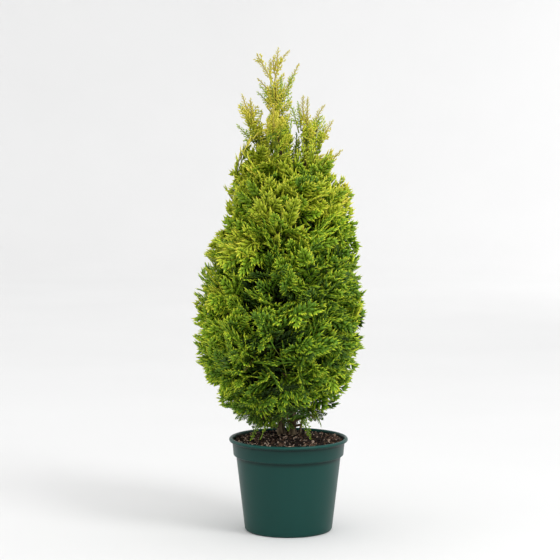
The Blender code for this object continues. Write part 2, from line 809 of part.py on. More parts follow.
def carry(space, rise):
    """Adds the bough that ends where the mass's stem starts, and gives its heading."""
    heading = (space.heart() - space.foot).normalized()
    toward = space.foot - Vector((between(CROWN_MIDDLE, space.foot.z), 0.0, space.foot.z))
    from_side = toward.normalized().x > FORK_SHARE
    line = SIDE_STEM_LINE if from_side else TRUNK_LINE
    cutter = side_stem_cutter if from_side else trunk_cutter
    make_bough(f"bough_{space.name}", line, cutter, space.foot.z - rise, space.foot, heading)
    return heading


def end_of(line):
    """The tip of a stem, and the way that it heads there."""
    last, before = Vector(line[-1][:3]), Vector(line[-2][:3])
    return last, (last - before).normalized()


spaces = []
for tier in TIERS:
    for number in range(tier.sectors):
        sector = Sector(tier, number)
        if sector.name == "lower_right":
            sector.foot, heading = end_of(THIN_STEM_LINE)
            spaces.append((sector, heading))
        else:
            steps = number % 2 if tier.name == "skirt" else number
            rise = BOUGH_RISE[tier.name] + BOUGH_STAGGER * steps
            spaces.append((sector, carry(sector, rise)))
for number, spire in enumerate(SPIRES):
    lobe = SpireSpace(spire)
    if spire.name in CROWNED_STEMS:
        lobe.foot, heading = end_of(CROWNED_STEMS[spire.name])
        spaces.append((lobe, heading))
    else:
        spaces.append((lobe, carry(lobe, SPIRE_RISE + BOUGH_STAGGER * number)))

for space, approach in spaces:
    grow_mass(space, approach)
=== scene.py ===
"""A junior giant arborvitae in its green nursery pot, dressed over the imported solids.

Units are metres and +Z is up. The front faces -Y, and the origin is the middle of the
pot's flat underside. The sections follow the plant as it is put together: the pot, the
potting mix, the stems, the crown's plan, the boughs, the sprays, the leaf colours, the
twigs with their fans, the low branchlets, the top shoots, the joined leaf pieces and
the studio.
"""

import math
import random

import bpy
import numpy as np
from mathutils import Matrix, Vector, noise


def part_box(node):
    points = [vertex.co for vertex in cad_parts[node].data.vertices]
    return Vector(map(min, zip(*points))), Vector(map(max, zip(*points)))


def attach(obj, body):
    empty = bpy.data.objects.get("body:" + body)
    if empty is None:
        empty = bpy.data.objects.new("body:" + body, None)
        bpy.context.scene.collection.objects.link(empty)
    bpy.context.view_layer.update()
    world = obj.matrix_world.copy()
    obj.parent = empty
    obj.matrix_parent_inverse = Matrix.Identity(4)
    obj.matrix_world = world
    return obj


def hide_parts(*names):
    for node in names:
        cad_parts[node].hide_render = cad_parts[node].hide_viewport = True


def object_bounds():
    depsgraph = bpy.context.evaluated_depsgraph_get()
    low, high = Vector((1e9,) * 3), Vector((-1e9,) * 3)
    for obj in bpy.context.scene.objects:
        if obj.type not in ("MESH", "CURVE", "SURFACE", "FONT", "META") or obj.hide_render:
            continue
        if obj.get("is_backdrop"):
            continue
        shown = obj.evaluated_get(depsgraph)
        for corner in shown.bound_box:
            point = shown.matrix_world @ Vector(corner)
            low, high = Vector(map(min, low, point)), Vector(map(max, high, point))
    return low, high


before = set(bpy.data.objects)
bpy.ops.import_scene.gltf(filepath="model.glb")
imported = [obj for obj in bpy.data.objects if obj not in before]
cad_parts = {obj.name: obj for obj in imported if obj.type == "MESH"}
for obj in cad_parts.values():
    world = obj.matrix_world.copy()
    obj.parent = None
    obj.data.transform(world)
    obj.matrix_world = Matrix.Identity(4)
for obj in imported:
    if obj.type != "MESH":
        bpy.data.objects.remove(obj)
cad_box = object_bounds()

# The pot. A round ten-litre nursery pot, injection moulded in dark green polypropylene
# with a rolled rim, a collar that stiffens it and six drain holes in its floor. It is
# drawn up ring by ring from one disc, so that wall, rim and foot are one skin.
POT_SIDES = 144
POT_WALL = 0.0022
POT_FLOOR = 0.0030
BEAD_HALF_WIDTH = 0.0042
BEAD_HALF_HEIGHT = 0.0045
COLLAR_TOP_RADIUS = 0.1327
COLLAR_BASE_RADIUS = 0.1299
COLLAR_BASE = 0.1786
COLLAR_ROUND = 0.0024
GROOVE_WIDTH = 0.0017
BEAD_GROOVE_DEPTH = 0.0050
LEDGE_GROOVE_DEPTH = 0.0034
BODY_TOP_RADIUS = 0.1236
BODY_BASE_RADIUS = 0.1036
BODY_RINGS = 12
FOOT_ROUND = 0.0070
# The bead's arc: its first angle, its last one and its steps.
BEAD_ARC = (175.0, -80.0, 22)
# Points of the skin beside its corners, sideways and up from each.
BEAD_LIP = (0.0004, 0.0006)
LEDGE_LIP = 0.0003
GROOVE_DRAFT = 0.0001
COLLAR_HEEL = (0.0012, 0.0160)
UNDERSIDE_STEP = (0.0120, 0.0010)
DRAIN_COUNT = 6
DRAIN_SIDES = 24
DRAIN_RADIUS = 0.0070
DRAIN_CIRCLE = 0.0770
POT_SHARPEST = 38.0
POT_GREENS = ((0.0026, 0.046, 0.037, 1), (0.0044, 0.053, 0.044, 1))
# The paler green painted over the top of the bead as its highlight, and how much of it.
PAINTED_HIGHLIGHT_GREEN = (0.0025, 0.082, 0.068, 1)
PAINTED_HIGHLIGHT_SHARE = 0.5
# The dark colour of the painted shade in the corners under the bead and the ledge and over the
# collar.
PAINTED_SHADE_COLOUR = (0.0006, 0.013, 0.011, 1)
POT_ROUGHNESS = 0.30
GRAIN_ROUGHNESS = 0.12
DUST_ROUGHNESS = 0.06


class Flow:
    """A shader socket, so that + - * between sockets and numbers add Math nodes."""

    def __init__(self, finish, socket):
        self.finish = finish
        self.socket = socket

    def worked(self, operation, first, second):
        return self.finish.node("ShaderNodeMath", {"operation": operation}, {0: first, 1: second})

    def __add__(self, other):
        return self.worked("ADD", self, other)

    def __radd__(self, other):
        return self.worked("ADD", other, self)

    def __sub__(self, other):
        return self.worked("SUBTRACT", self, other)

    def __rsub__(self, other):
        return self.worked("SUBTRACT", other, self)

    def __mul__(self, other):
        return self.worked("MULTIPLY", self, other)

    def __rmul__(self, other):
        return self.worked("MULTIPLY", other, self)


class Finish:
    """A Principled material. Its constants are set on the shader's own sockets."""

    def __init__(self, name, **constants):
        self.material = bpy.data.materials.new(name)
        self.material.use_nodes = True
        self.tree = self.material.node_tree
        self.shader = self.tree.nodes["Principled BSDF"]
        for socket, value in constants.items():
            self.shader.inputs[socket.replace("_", " ")].default_value = value

    def feed(self, socket, value):
        if isinstance(value, Flow):
            self.tree.links.new(value.socket, socket)
        else:
            socket.default_value = value

    def node(self, kind, settings, sockets, output=0):
        """Any node: its type, its settings or ramp stops, then its sockets' values."""
        made = self.tree.nodes.new(kind)
        for name, value in settings.items():
            if name == "stops":
                for stop, (position, colour) in zip(made.color_ramp.elements, value):
                    stop.position = position
                    stop.color = (*colour, 1.0)
            else:
                setattr(made, name, value)
        for name, value in sockets.items():
            self.feed(made.inputs[name], value)
        return Flow(self, made.outputs[output])

    def noise(self, scale, detail, stretch=(1.0, 1.0, 1.0)):
        """Cloud noise on Object coordinates, from 0 to 1, drawn out by a stretch."""
        place = self.node("ShaderNodeTexCoord", {}, {}, "Object")
        place = self.node("ShaderNodeMapping", {}, {"Vector": place, "Scale": stretch})
        settings = {"Vector": place, "Scale": scale, "Detail": detail}
        return self.node("ShaderNodeTexNoise", {}, settings)

    def ramp(self, share, *stops):
        return self.node("ShaderNodeValToRGB", {"stops": stops}, {"Fac": share})

    def mixed(self, share, first, second):
        colours = {0: share, 6: first, 7: second}
        return self.node("ShaderNodeMix", {"data_type": "RGBA"}, colours, 2)

    def coloured(self, colour):
        self.feed(self.shader.inputs["Base Color"], colour)

    def roughened(self, share):
        self.feed(self.shader.inputs["Roughness"], share)

    def bumped(self, height, distance, strength):
        sockets = {"Height": height, "Distance": distance, "Strength": strength}
        self.feed(self.shader.inputs["Normal"], self.node("ShaderNodeBump", {}, sockets))


def mottled(name, colours, scale, detail, **constants):
    """A finish whose colour drifts between a dark and a pale one, in soft clouds."""
    made = Finish(name, **constants)
    made.coloured(made.mixed(made.noise(scale, detail), *colours))
    return made


def keep(piece, finish, slot, *nodes):
    """Finishes a piece, rides it on the plant and lets it stand for its solids."""
    piece.data.materials.clear()
    piece.data.materials.append(finish.material)
    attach(piece, "root")
    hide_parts(*nodes)


def edit_all(piece):
    """Opens one piece alone in edit mode, with all of it selected."""
    bpy.ops.object.select_all(action="DESELECT")
    bpy.context.view_layer.objects.active = piece
    piece.select_set(True)
    bpy.ops.object.mode_set(mode="EDIT")
    bpy.ops.mesh.select_all(action="SELECT")


def drawn_up(name, sides, rings):
    """A closed skin: a disc extruded and resized from ring to ring (x, y, height, radius)."""
    x, y, height, radius = rings[0]
    bpy.ops.object.select_all(action="DESELECT")
    bpy.ops.mesh.primitive_circle_add(
        vertices=sides, radius=radius, fill_type="NGON", location=(x, y, height)
    )
    piece = bpy.context.object
    piece.name = name
    piece.data.name = name
    bpy.ops.object.transform_apply(location=True, rotation=True, scale=True)
    edit_all(piece)
    here = Vector((x, y, height))
    for x, y, height, wanted in rings[1:]:
        there = Vector((x, y, height))
        bpy.ops.mesh.extrude_region_move(TRANSFORM_OT_translate={"value": there - here})
        grow = wanted / radius
        bpy.ops.transform.resize(value=(grow, grow, 1.0), center_override=there)
        here, radius = there, wanted
    bpy.ops.mesh.select_all(action="SELECT")
    bpy.ops.mesh.normals_make_consistent(inside=False)
    bpy.ops.object.mode_set(mode="OBJECT")
    return piece


def applied(piece, kind, **settings):
    """Gives a piece one modifier with its settings, and applies it."""
    bpy.context.view_layer.objects.active = piece
    bpy.ops.object.modifier_add(type=kind)
    for name, value in settings.items():
        setattr(piece.modifiers[-1], name, value)
    bpy.ops.object.modifier_apply(modifier=piece.modifiers[-1].name)


def smoothed(piece, degrees):
    """Shades a piece smooth, but for the edges that turn by more than an angle."""
    bpy.ops.object.select_all(action="DESELECT")
    bpy.context.view_layer.objects.active = piece
    piece.select_set(True)
    bpy.ops.object.shade_smooth_by_angle(angle=math.radians(degrees))


def arc(radius, height, half_width, half_height, start, end, steps):
    """(radius, height) points on an ellipse's arc, its angles in degrees."""
    angles = [math.radians(start + (end - start) * i / steps) for i in range(steps + 1)]
    return [(radius + half_width * math.cos(a), height + half_height * math.sin(a)) for a in angles]


_, pot_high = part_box("pot")
bead_radius = pot_high.x - BEAD_HALF_WIDTH
bead_height = pot_high.z - BEAD_HALF_HEIGHT
inner_foot = BODY_BASE_RADIUS - FOOT_ROUND
inner_ledge = COLLAR_BASE + LEDGE_GROOVE_DEPTH + POT_WALL
bead_base = bead_height - BEAD_HALF_HEIGHT
collar_corner = (COLLAR_BASE_RADIUS - COLLAR_ROUND, COLLAR_BASE + COLLAR_ROUND)
body_slope = (BODY_TOP_RADIUS - BODY_BASE_RADIUS) / (COLLAR_BASE - FOOT_ROUND)
body = []
for i in range(BODY_RINGS + 1):
    height = COLLAR_BASE + (FOOT_ROUND - COLLAR_BASE) * i / BODY_RINGS
    body.append((BODY_BASE_RADIUS + body_slope * (height - FOOT_ROUND), height))
pot_outline = [
    (inner_foot, POT_FLOOR),
    (BODY_BASE_RADIUS - POT_WALL, FOOT_ROUND),
    (BODY_TOP_RADIUS - POT_WALL, inner_ledge),
    (COLLAR_BASE_RADIUS - POT_WALL, inner_ledge),
    *arc(bead_radius, bead_height, BEAD_HALF_WIDTH, BEAD_HALF_HEIGHT, *BEAD_ARC),
    (COLLAR_TOP_RADIUS + GROOVE_WIDTH + BEAD_LIP[0], bead_base + BEAD_LIP[1]),
    (COLLAR_TOP_RADIUS + GROOVE_WIDTH, bead_base + BEAD_GROOVE_DEPTH),
    (COLLAR_TOP_RADIUS + GROOVE_DRAFT, bead_base + BEAD_GROOVE_DEPTH),
    (COLLAR_TOP_RADIUS, bead_base),
    (COLLAR_BASE_RADIUS + COLLAR_HEEL[0], COLLAR_BASE + COLLAR_HEEL[1]),
    *arc(*collar_corner, COLLAR_ROUND, COLLAR_ROUND, 0.0, -90.0, 5),
    (BODY_TOP_RADIUS + GROOVE_WIDTH + LEDGE_LIP, COLLAR_BASE + LEDGE_LIP),
    (BODY_TOP_RADIUS + GROOVE_WIDTH, COLLAR_BASE + LEDGE_GROOVE_DEPTH),
    (BODY_TOP_RADIUS + GROOVE_DRAFT, COLLAR_BASE + LEDGE_GROOVE_DEPTH),
    *body,
    *arc(inner_foot, FOOT_ROUND, FOOT_ROUND, FOOT_ROUND, -8.0, -90.0, 8),
    (inner_foot - UNDERSIDE_STEP[0], 0.0),
    (inner_foot - UNDERSIDE_STEP[0] - UNDERSIDE_STEP[1], UNDERSIDE_STEP[1]),
]
pot = drawn_up("pot_shell", POT_SIDES, [(0.0, 0.0, height, r) for r, height in pot_outline])
for i in range(DRAIN_COUNT):
    turn = math.tau * (i + 0.5) / DRAIN_COUNT
    bpy.ops.mesh.primitive_cylinder_add(
        vertices=DRAIN_SIDES,
        radius=DRAIN_RADIUS,
        depth=4 * POT_FLOOR,
        location=(DRAIN_CIRCLE * math.cos(turn), DRAIN_CIRCLE * math.sin(turn), 0.0),
    )
    drill = bpy.context.object
    applied(pot, "BOOLEAN", object=drill)
    bpy.data.objects.remove(drill)
smoothed(pot, POT_SHARPEST)

# Painted shade in the corners under the bead and the ledge, and thinly over the collar
# where the crown above shades it: each band's middle height, its half width and its strength.
PAINTED_SHADE_BANDS = (
    (bead_base - 0.0005, 0.0060, 0.85),
    (COLLAR_BASE - 0.0040, 0.0070, 0.80),
    (COLLAR_BASE + 0.0250, 0.0320, 0.26),
)
pot_finish = Finish("moulded_green", Specular_IOR_Level=0.22)
grain = pot_finish.noise(scale=9.0, detail=3.0, stretch=(1.0, 1.0, 0.35))
dust = pot_finish.noise(scale=420.0, detail=2.0)
place = pot_finish.node("ShaderNodeTexCoord", {}, {}, "Object")
height = pot_finish.node("ShaderNodeSeparateXYZ", {}, {"Vector": place}, "Z")
green = pot_finish.mixed(grain, *POT_GREENS)
for middle, half, strength in PAINTED_SHADE_BANDS:
    away = pot_finish.node("ShaderNodeMath", {"operation": "ABSOLUTE"}, {0: height - middle})
    near = {0: 1.0, 1: away * (1.0 / half)}
    near = pot_finish.node("ShaderNodeMath", {"operation": "SUBTRACT", "use_clamp": True}, near)
    green = pot_finish.mixed(near * strength, green, PAINTED_SHADE_COLOUR)
# Painted highlight: the bead's top half, above its middle height, is mixed paler green.
painted_highlight_top = pot_finish.node("ShaderNodeMath", {"operation": "GREATER_THAN"}, {0: height, 1: bead_height})
pot_finish.coloured(pot_finish.mixed(painted_highlight_top * PAINTED_HIGHLIGHT_SHARE, green, PAINTED_HIGHLIGHT_GREEN))
pot_finish.roughened(POT_ROUGHNESS + GRAIN_ROUGHNESS * grain + DUST_ROUGHNESS * dust)
pot_finish.bumped(dust, distance=0.0002, strength=0.10)
keep(pot, pot_finish, "pot", "pot")

# The potting mix. Shredded bark and peat with a few white grains of perlite, filled in
# loose to a finger's breadth under the rim and heaped a little where the stems stand.
# A lumpy mound carries over two thousand separate crumbs and shreds.
SEED = 1907
MIX_TOP = 0.2235
# How far the mix lies below its top, by the distance from the pot's middle.
MIX_OUTLINE = ((0.0, 0.0), (0.033, 0.0), (0.080, 0.0060), (0.1288, 0.0145))
MIX_CLEAR = 0.0006
MIX_SIDES = 112
MIX_RINGS = 26
MIX_LUMPS = 0.0055
MIX_LUMP_SIZE = 0.011
MIX_EDGE = 0.0005
MIX_SHARPEST = 50.0
MIX_COLOURS = ((0.006, 0.0045, 0.0035, 1), (0.030, 0.022, 0.016, 1))
CRUMB_VARIANTS = 5
CRUMB_ROUGHNESS = 0.34
CRUMB_SHAPE = (1.0, 0.44, 0.27)
CRUMB_REACH = 0.985
CRUMB_BED = (0.0004, 0.0030)
CRUMB_LEANS = (0.5, 0.6)
CRUMB_LENGTHS = (0.45, 1.35)
CRUMB_WIDTHS = (0.6, 1.3)
CRUMB_DEPTHS = (0.7, 1.3)
# Each kind of crumb: how many there are, their length, their darkest and palest colour.
CRUMBS = {
    "dark": (1100, 0.0066, (0.006, 0.0038, 0.0030, 1), (0.024, 0.014, 0.0095, 1)),
    "brown": (760, 0.0058, (0.058, 0.032, 0.020, 1), (0.150, 0.088, 0.056, 1)),
    "tan": (400, 0.0054, (0.300, 0.205, 0.145, 1), (0.640, 0.500, 0.390, 1)),
    "white": (90, 0.0022, (0.56, 0.50, 0.42, 1), (0.78, 0.74, 0.68, 1)),
}


def between(table, place):
    """The value that a (place, value) table gives, on straight lines."""
    places, values = zip(*table)
    return float(np.interp(place, places, values))


class Heap:
    """Many small closed shapes, kept as arrays and joined into one piece."""

    def __init__(self):
        self.points = []
        self.faces = []
        self.size = 0

    def add(self, points, faces):
        self.points.append(np.asarray(points, float))
        self.faces.append(np.asarray(faces, int) + self.size)
        self.size += len(points)

    def arrays(self):
        return np.concatenate(self.points), np.concatenate(self.faces)

    def piece(self, name, smooth):
        points, faces = self.arrays()
        mesh = bpy.data.meshes.new(name)
        mesh.vertices.add(len(points))
        mesh.vertices.foreach_set("co", points.astype(np.float32).ravel())
        mesh.loops.add(faces.size)
        mesh.loops.foreach_set("vertex_index", faces.astype(np.int32).ravel())
        mesh.polygons.add(len(faces))
        mesh.polygons.foreach_set("loop_start", np.arange(0, faces.size, 3, dtype=np.int32))
        mesh.polygons.foreach_set("use_smooth", np.full(len(faces), smooth))
        mesh.update(calc_edges=True)
        made = bpy.data.objects.new(name, mesh)
        bpy.context.scene.collection.objects.link(made)
        return made


def taken(piece):
    """A modelled shape's points and triangles; the object itself is cleared away."""
    piece.data.calc_loop_triangles()
    points = np.array([vertex.co for vertex in piece.data.vertices])
    faces = np.array([triangle.vertices for triangle in piece.data.loop_triangles])
    bpy.data.objects.remove(piece)
    return points, faces


wall_inside = POT_WALL + MIX_CLEAR
mix_rings = [
    (inner_foot - MIX_CLEAR, POT_FLOOR + MIX_CLEAR / 2),
    (BODY_BASE_RADIUS - wall_inside, FOOT_ROUND),
    (BODY_TOP_RADIUS - wall_inside, inner_ledge),
    (COLLAR_BASE_RADIUS - wall_inside, inner_ledge + MIX_CLEAR),
]
for i in range(MIX_RINGS):
    radius = MIX_OUTLINE[-1][0] * (1.0 - i / MIX_RINGS)
    mix_rings.append((radius, MIX_TOP - between(MIX_OUTLINE, radius)))
mound = drawn_up("mix_mound", MIX_SIDES, [(0.0, 0.0, height, r) for r, height in mix_rings])
surface = mound.vertex_groups.new(name="surface")
edge_height = MIX_TOP - MIX_OUTLINE[-1][1] + MIX_EDGE
surface.add([v.index for v in mound.data.vertices if v.co.z > edge_height], 1.0, "REPLACE")
lumps = bpy.data.textures.new("lumps", "CLOUDS")
lumps.noise_scale = MIX_LUMP_SIZE
applied(mound, "DISPLACE", texture=lumps, strength=MIX_LUMPS, vertex_group="surface")
smoothed(mound, MIX_SHARPEST)
mix_finish = Finish("damp_peat", Roughness=0.95, Specular_IOR_Level=0.2)
lump_noise = mix_finish.noise(scale=260.0, detail=4.0)
mix_finish.coloured(mix_finish.mixed(lump_noise, *MIX_COLOURS))
mix_finish.bumped(lump_noise, distance=0.002, strength=0.8)
keep(mound, mix_finish, "potting_mix", "potting_mix")

crumb_shapes = []
for i in range(CRUMB_VARIANTS):
    bpy.ops.mesh.primitive_ico_sphere_add(subdivisions=1, radius=1.0)
    crumb = bpy.context.object
    edit_all(crumb)
    bpy.ops.transform.vertex_random(offset=CRUMB_ROUGHNESS, seed=SEED + i)
    bpy.ops.transform.resize(value=CRUMB_SHAPE, center_override=(0.0, 0.0, 0.0))
    bpy.ops.object.mode_set(mode="OBJECT")
    crumb_shapes.append(taken(crumb))

dice = random.Random(f"{SEED} crumbs")
for kind, (count, size, darkest, palest) in CRUMBS.items():
    heap = Heap()
    for _ in range(count):
        radius = MIX_OUTLINE[-1][0] * math.sqrt(dice.random()) * CRUMB_REACH
        turn = dice.uniform(0.0, math.tau)
        height = MIX_TOP - between(MIX_OUTLINE, radius) + dice.uniform(*CRUMB_BED)
        lean = Matrix.Rotation(dice.gauss(0.0, CRUMB_LEANS[0]), 3, "Y")
        lean = lean @ Matrix.Rotation(dice.gauss(0.0, CRUMB_LEANS[1]), 3, "X")
        lean = Matrix.Rotation(dice.uniform(0.0, math.tau), 3, "Z") @ lean
        points, faces = crumb_shapes[dice.randrange(CRUMB_VARIANTS)]
        length = size * dice.uniform(*CRUMB_LENGTHS)
        sizes = (length, length * dice.uniform(*CRUMB_WIDTHS), length * dice.uniform(*CRUMB_DEPTHS))
        place = (radius * math.cos(turn), radius * math.sin(turn), height)
        heap.add(points * sizes @ np.array(lean).T + place, faces)
    dry = {"Roughness": 0.9, "Specular_IOR_Level": 0.25}
    crumb_finish = mottled(f"mix_{kind}", (darkest, palest), scale=190.0, detail=3.0, **dry)
    keep(heap.piece(f"mix_crumbs_{kind}", False), crumb_finish, "potting_mix", "potting_mix")

# The stems. A trunk, a side stem nearly as stout that forks from it under the mix, and
# one thin shoot. Their brown bark is fibrous and splits into long upright strips, and
# each stem swells where it enters the mix.
STEM_FOOT = 0.2238
# Each stem's line from its foot to its top: x, y, the height and the radius there.
STEM_LINES = {
    "trunk": (
        (-0.0170, 0.0050, STEM_FOOT, 0.0118),
        (-0.0170, 0.0050, STEM_FOOT + 0.006, 0.0102),
        (-0.0174, 0.0050, STEM_FOOT + 0.018, 0.0090),
        (-0.0186, 0.0050, STEM_FOOT + 0.050, 0.0084),
        (-0.0200, 0.0040, 0.340, 0.0080),
        (-0.0190, 0.0020, 0.450, 0.0073),
        (-0.0150, 0.0010, 0.560, 0.0065),
        (-0.0120, 0.0020, 0.670, 0.0056),
        (-0.0140, 0.0010, 0.780, 0.0046),
        (-0.0200, 0.0000, 0.870, 0.0037),
        (-0.0245, 0.0000, 0.920, 0.0031),
        (-0.0250, 0.0000, 0.945, 0.0028),
    ),
    "side_stem": (
        (0.0097, -0.0060, STEM_FOOT, 0.0112),
        (0.0097, -0.0060, STEM_FOOT + 0.006, 0.0094),
        (0.0100, -0.0060, STEM_FOOT + 0.018, 0.0080),
        (0.0108, -0.0065, STEM_FOOT + 0.050, 0.0072),
        (0.0132, -0.0080, 0.350, 0.0067),
        (0.0160, -0.0080, 0.460, 0.0061),
        (0.0200, -0.0060, 0.580, 0.0054),
        (0.0260, -0.0060, 0.690, 0.0046),
        (0.0335, -0.0070, 0.780, 0.0038),
        (0.0390, -0.0130, 0.872, 0.0029),
    ),
    "thin_stem": (
        (0.0262, 0.0020, STEM_FOOT, 0.0036),
        (0.0262, 0.0020, STEM_FOOT + 0.004, 0.0032),
        (0.0300, 0.0020, 0.250, 0.0029),
        (0.0370, 0.0010, 0.278, 0.0027),
        (0.0430, 0.0000, 0.308, 0.0025),
    ),
}
STEM_STEP = 0.0045
STEM_SIDES = {"trunk": 36, "side_stem": 32, "thin_stem": 14}
STEM_BURIED = 0.0060
BARK_DEPTH = 0.16
BARK_STRIPS = 2.3
BARK_STRIP_LENGTH = 0.030
BARK_FINE = (2.3, 2.6, 0.5)
BARK_COLOURS = ((0.34, (0.038, 0.027, 0.015)), (0.68, (0.275, 0.212, 0.125)))
BARK_SHARPEST = 60.0
BEND_EASE = 0.008
# The swelling at a stem's foot: its share of the radius, and the height it fades over.
ROOT_SWELL = (0.14, 0.012)
ROOT_LOBES = 5


def on_line(line, height):
    """A stem's (x, y) and radius at a height, with its bends eased."""
    heights = [place[2] for place in line]
    eased = []
    for column in (0, 1, 3):
        values = [place[column] for place in line]
        near = [np.interp(height + step, heights, values) for step in (-BEND_EASE, 0.0, BEND_EASE)]
        eased.append(sum(near) / 3)
    return eased


def bark_relief(turn, length, seed):
    """The bark's height round and along a limb, as a share, in long strips."""
    round_x, round_y = BARK_STRIPS * math.cos(turn), BARK_STRIPS * math.sin(turn)
    along = length / BARK_STRIP_LENGTH
    finer, closer, share = BARK_FINE
    coarse = noise.noise(Vector((round_x + seed, round_y, along)))
    fine = noise.noise(Vector((round_x * finer, round_y * finer + seed, along * closer)))
    return coarse + share * fine


bark = Finish("fibrous_bark", Roughness=0.9, Specular_IOR_Level=0.25)
strips = bark.noise(scale=240.0, detail=4.0, stretch=(1.0, 1.0, 0.13))
bark.coloured(bark.ramp(strips, *BARK_COLOURS))
bark.bumped(strips, distance=0.0012, strength=0.7)

for name, line in STEM_LINES.items():
    top = line[-1][2]
    steps = max(4, round((top - STEM_FOOT) / STEM_STEP))
    rings = []
    for i in range(-1, steps + 1):
        height = STEM_FOOT + (top - STEM_FOOT) * i / steps if i >= 0 else STEM_FOOT - STEM_BURIED
        x, y, radius = on_line(line, height)
        rings.append((x, y, height, radius))
    stem = drawn_up(f"{name}_bark", STEM_SIDES[name], rings)
    for vertex in stem.data.vertices:
        x, y, radius = on_line(line, vertex.co.z)
        arm = Vector((vertex.co.x - x, vertex.co.y - y, 0.0))
        turn = math.atan2(arm.y, arm.x)
        swell = ROOT_SWELL[0] * math.exp((STEM_FOOT - vertex.co.z) / ROOT_SWELL[1])
        swell *= math.cos(ROOT_LOBES * turn)
        vertex.co += arm * (BARK_DEPTH * bark_relief(turn, vertex.co.z, len(name)) + swell)
    smoothed(stem, BARK_SHARPEST)
    keep(stem, bark, "bark", name)

# The crown's plan. Tiers of boughs grow round a slightly leaning middle line, each
# tier shared out into equal sectors, and above them stand six upright spires with the
# leader in their middle. First come the crown's reach and that line, by height.
CROWN_REACH = (
    (0.228, 0.052),
    (0.262, 0.106),
    (0.300, 0.146),
    (0.350, 0.179),
    (0.410, 0.202),
    (0.460, 0.2085),
    (0.560, 0.205),
    (0.650, 0.193),
    (0.730, 0.168),
    (0.790, 0.157),
    (0.825, 0.150),
    (0.865, 0.131),
    (0.930, 0.104),
)
CROWN_MIDDLE = (
    (0.230, -0.012),
    (0.300, -0.024),
    (0.460, -0.024),
    (0.560, -0.019),
    (0.640, -0.012),
    (0.730, 0.001),
    (0.790, 0.002),
    (0.840, -0.007),
    (0.930, -0.008),
)
# Each tier: its floor and roof at the middle line and their rise per metre outward, the
# hollow round the stems, its sectors, the first one's turn, and the sprays' lift.
TIERS = {
    "skirt": (0.222, -0.05, 0.286, 0.12, 0.036, 4, 45.0, -20.0),
    "lower": (0.289, 0.12, 0.340, 0.50, 0.060, 5, 0.0, 16.0),
    "middle": (0.343, 0.50, 0.445, 0.75, 0.056, 5, 36.0, 34.0),
    "upper": (0.448, 0.75, 0.575, 0.93, 0.054, 4, 0.0, 46.0),
    "shoulder": (0.578, 0.93, 0.795, 1.05, 0.056, 4, 45.0, 56.0),
}
# Each spire: its foot, its summit, and its half widths at foot, middle and summit.
SPIRES = {
    "leader": ((-0.0250, 0.0000, 0.9453), (-0.0240, 0.0000, 1.1390), (0.030, 0.036, 0.052)),
    "left_spire": ((-0.0480, 0.0020, 0.8680), (-0.0980, 0.0000, 1.0180), (0.022, 0.038, 0.026)),
    "right_spire": ((0.0390, -0.0130, 0.8723), (0.0440, -0.0340, 1.0200), (0.016, 0.034, 0.026)),
    "far_right_spire": ((0.0400, 0.0220, 0.8680), (0.0860, 0.0420, 0.9980), (0.018, 0.034, 0.028)),
    "front_spire": ((-0.0140, -0.0440, 0.8680), (-0.0340, -0.0820, 0.9860), (0.020, 0.036, 0.028)),
    "back_spire": ((-0.0120, 0.0460, 0.8680), (-0.0260, 0.0820, 0.9900), (0.020, 0.036, 0.028)),
}
SPIRE_LIFT = 66.0
SECTOR_FOOT = 0.42
SECTOR_HEART = (0.52, 0.50)
SECTOR_SLIMMEST = 0.012
SECTOR_ROUNDS = 12
SPIRE_HEART = 0.66
LEADER_HEART = (-0.0325, 0.0, 1.052)
AXIS_NEAREST = 0.0003
# The masses that stand on a stem's own end and have no bough.
STEM_MASSES = {"trunk": "leader", "side_stem": "right_spire", "thin_stem": "lower_right"}


def side_word(azimuth):
    """A plain word for a side of the plant. The front is -Y and the right is +X."""
    words = ("right", "back_right", "back", "back_left", "left", "front_left", "front", "front_right")
    return words[round(math.degrees(azimuth) % 360 / 45) % 8]


def from_middle(point):
    """The level arm from the crown's middle line to a point."""
    return Vector((point.x - between(CROWN_MIDDLE, point.z), point.y, 0.0))


class Sector:
    """One sector of a tier. place() maps shares across, up and out to a point."""

    def __init__(self, tier, number):
        self.floor, self.floor_rise, self.roof, self.roof_rise, self.hollow = TIERS[tier][:5]
        sectors, turn, lift = TIERS[tier][5:]
        self.tier = tier
        self.number = number
        self.half = math.pi / sectors
        self.azimuth = math.radians(turn) + 2 * self.half * number
        self.name = f"{tier}_{side_word(self.azimuth)}"
        self.lift = math.radians(lift)
        self.foot = self.place(0.0, SECTOR_FOOT, 0.0)
        self.heart = self.place(0.0, *SECTOR_HEART)

    def place(self, across, up, out):
        azimuth = self.azimuth + across * self.half
        radius = self.hollow
        for _ in range(SECTOR_ROUNDS):
            floor = self.floor + self.floor_rise * radius
            height = floor + up * (self.roof + self.roof_rise * radius - floor)
            room = max(between(CROWN_REACH, height) - self.hollow, SECTOR_SLIMMEST)
            radius = self.hollow + out * room
        middle = between(CROWN_MIDDLE, height)
        return Vector((middle + radius * math.cos(azimuth), radius * math.sin(azimuth), height))

    def outward(self, point):
        return from_middle(point).normalized()

    def beyond(self, point):
        """How far a point is past the crown's reach, as a negative length inside it."""
        return from_middle(point).length - between(CROWN_REACH, point.z)

    def girth(self, up):
        return 2 * self.half * from_middle(self.place(0.0, up, 1.0)).length


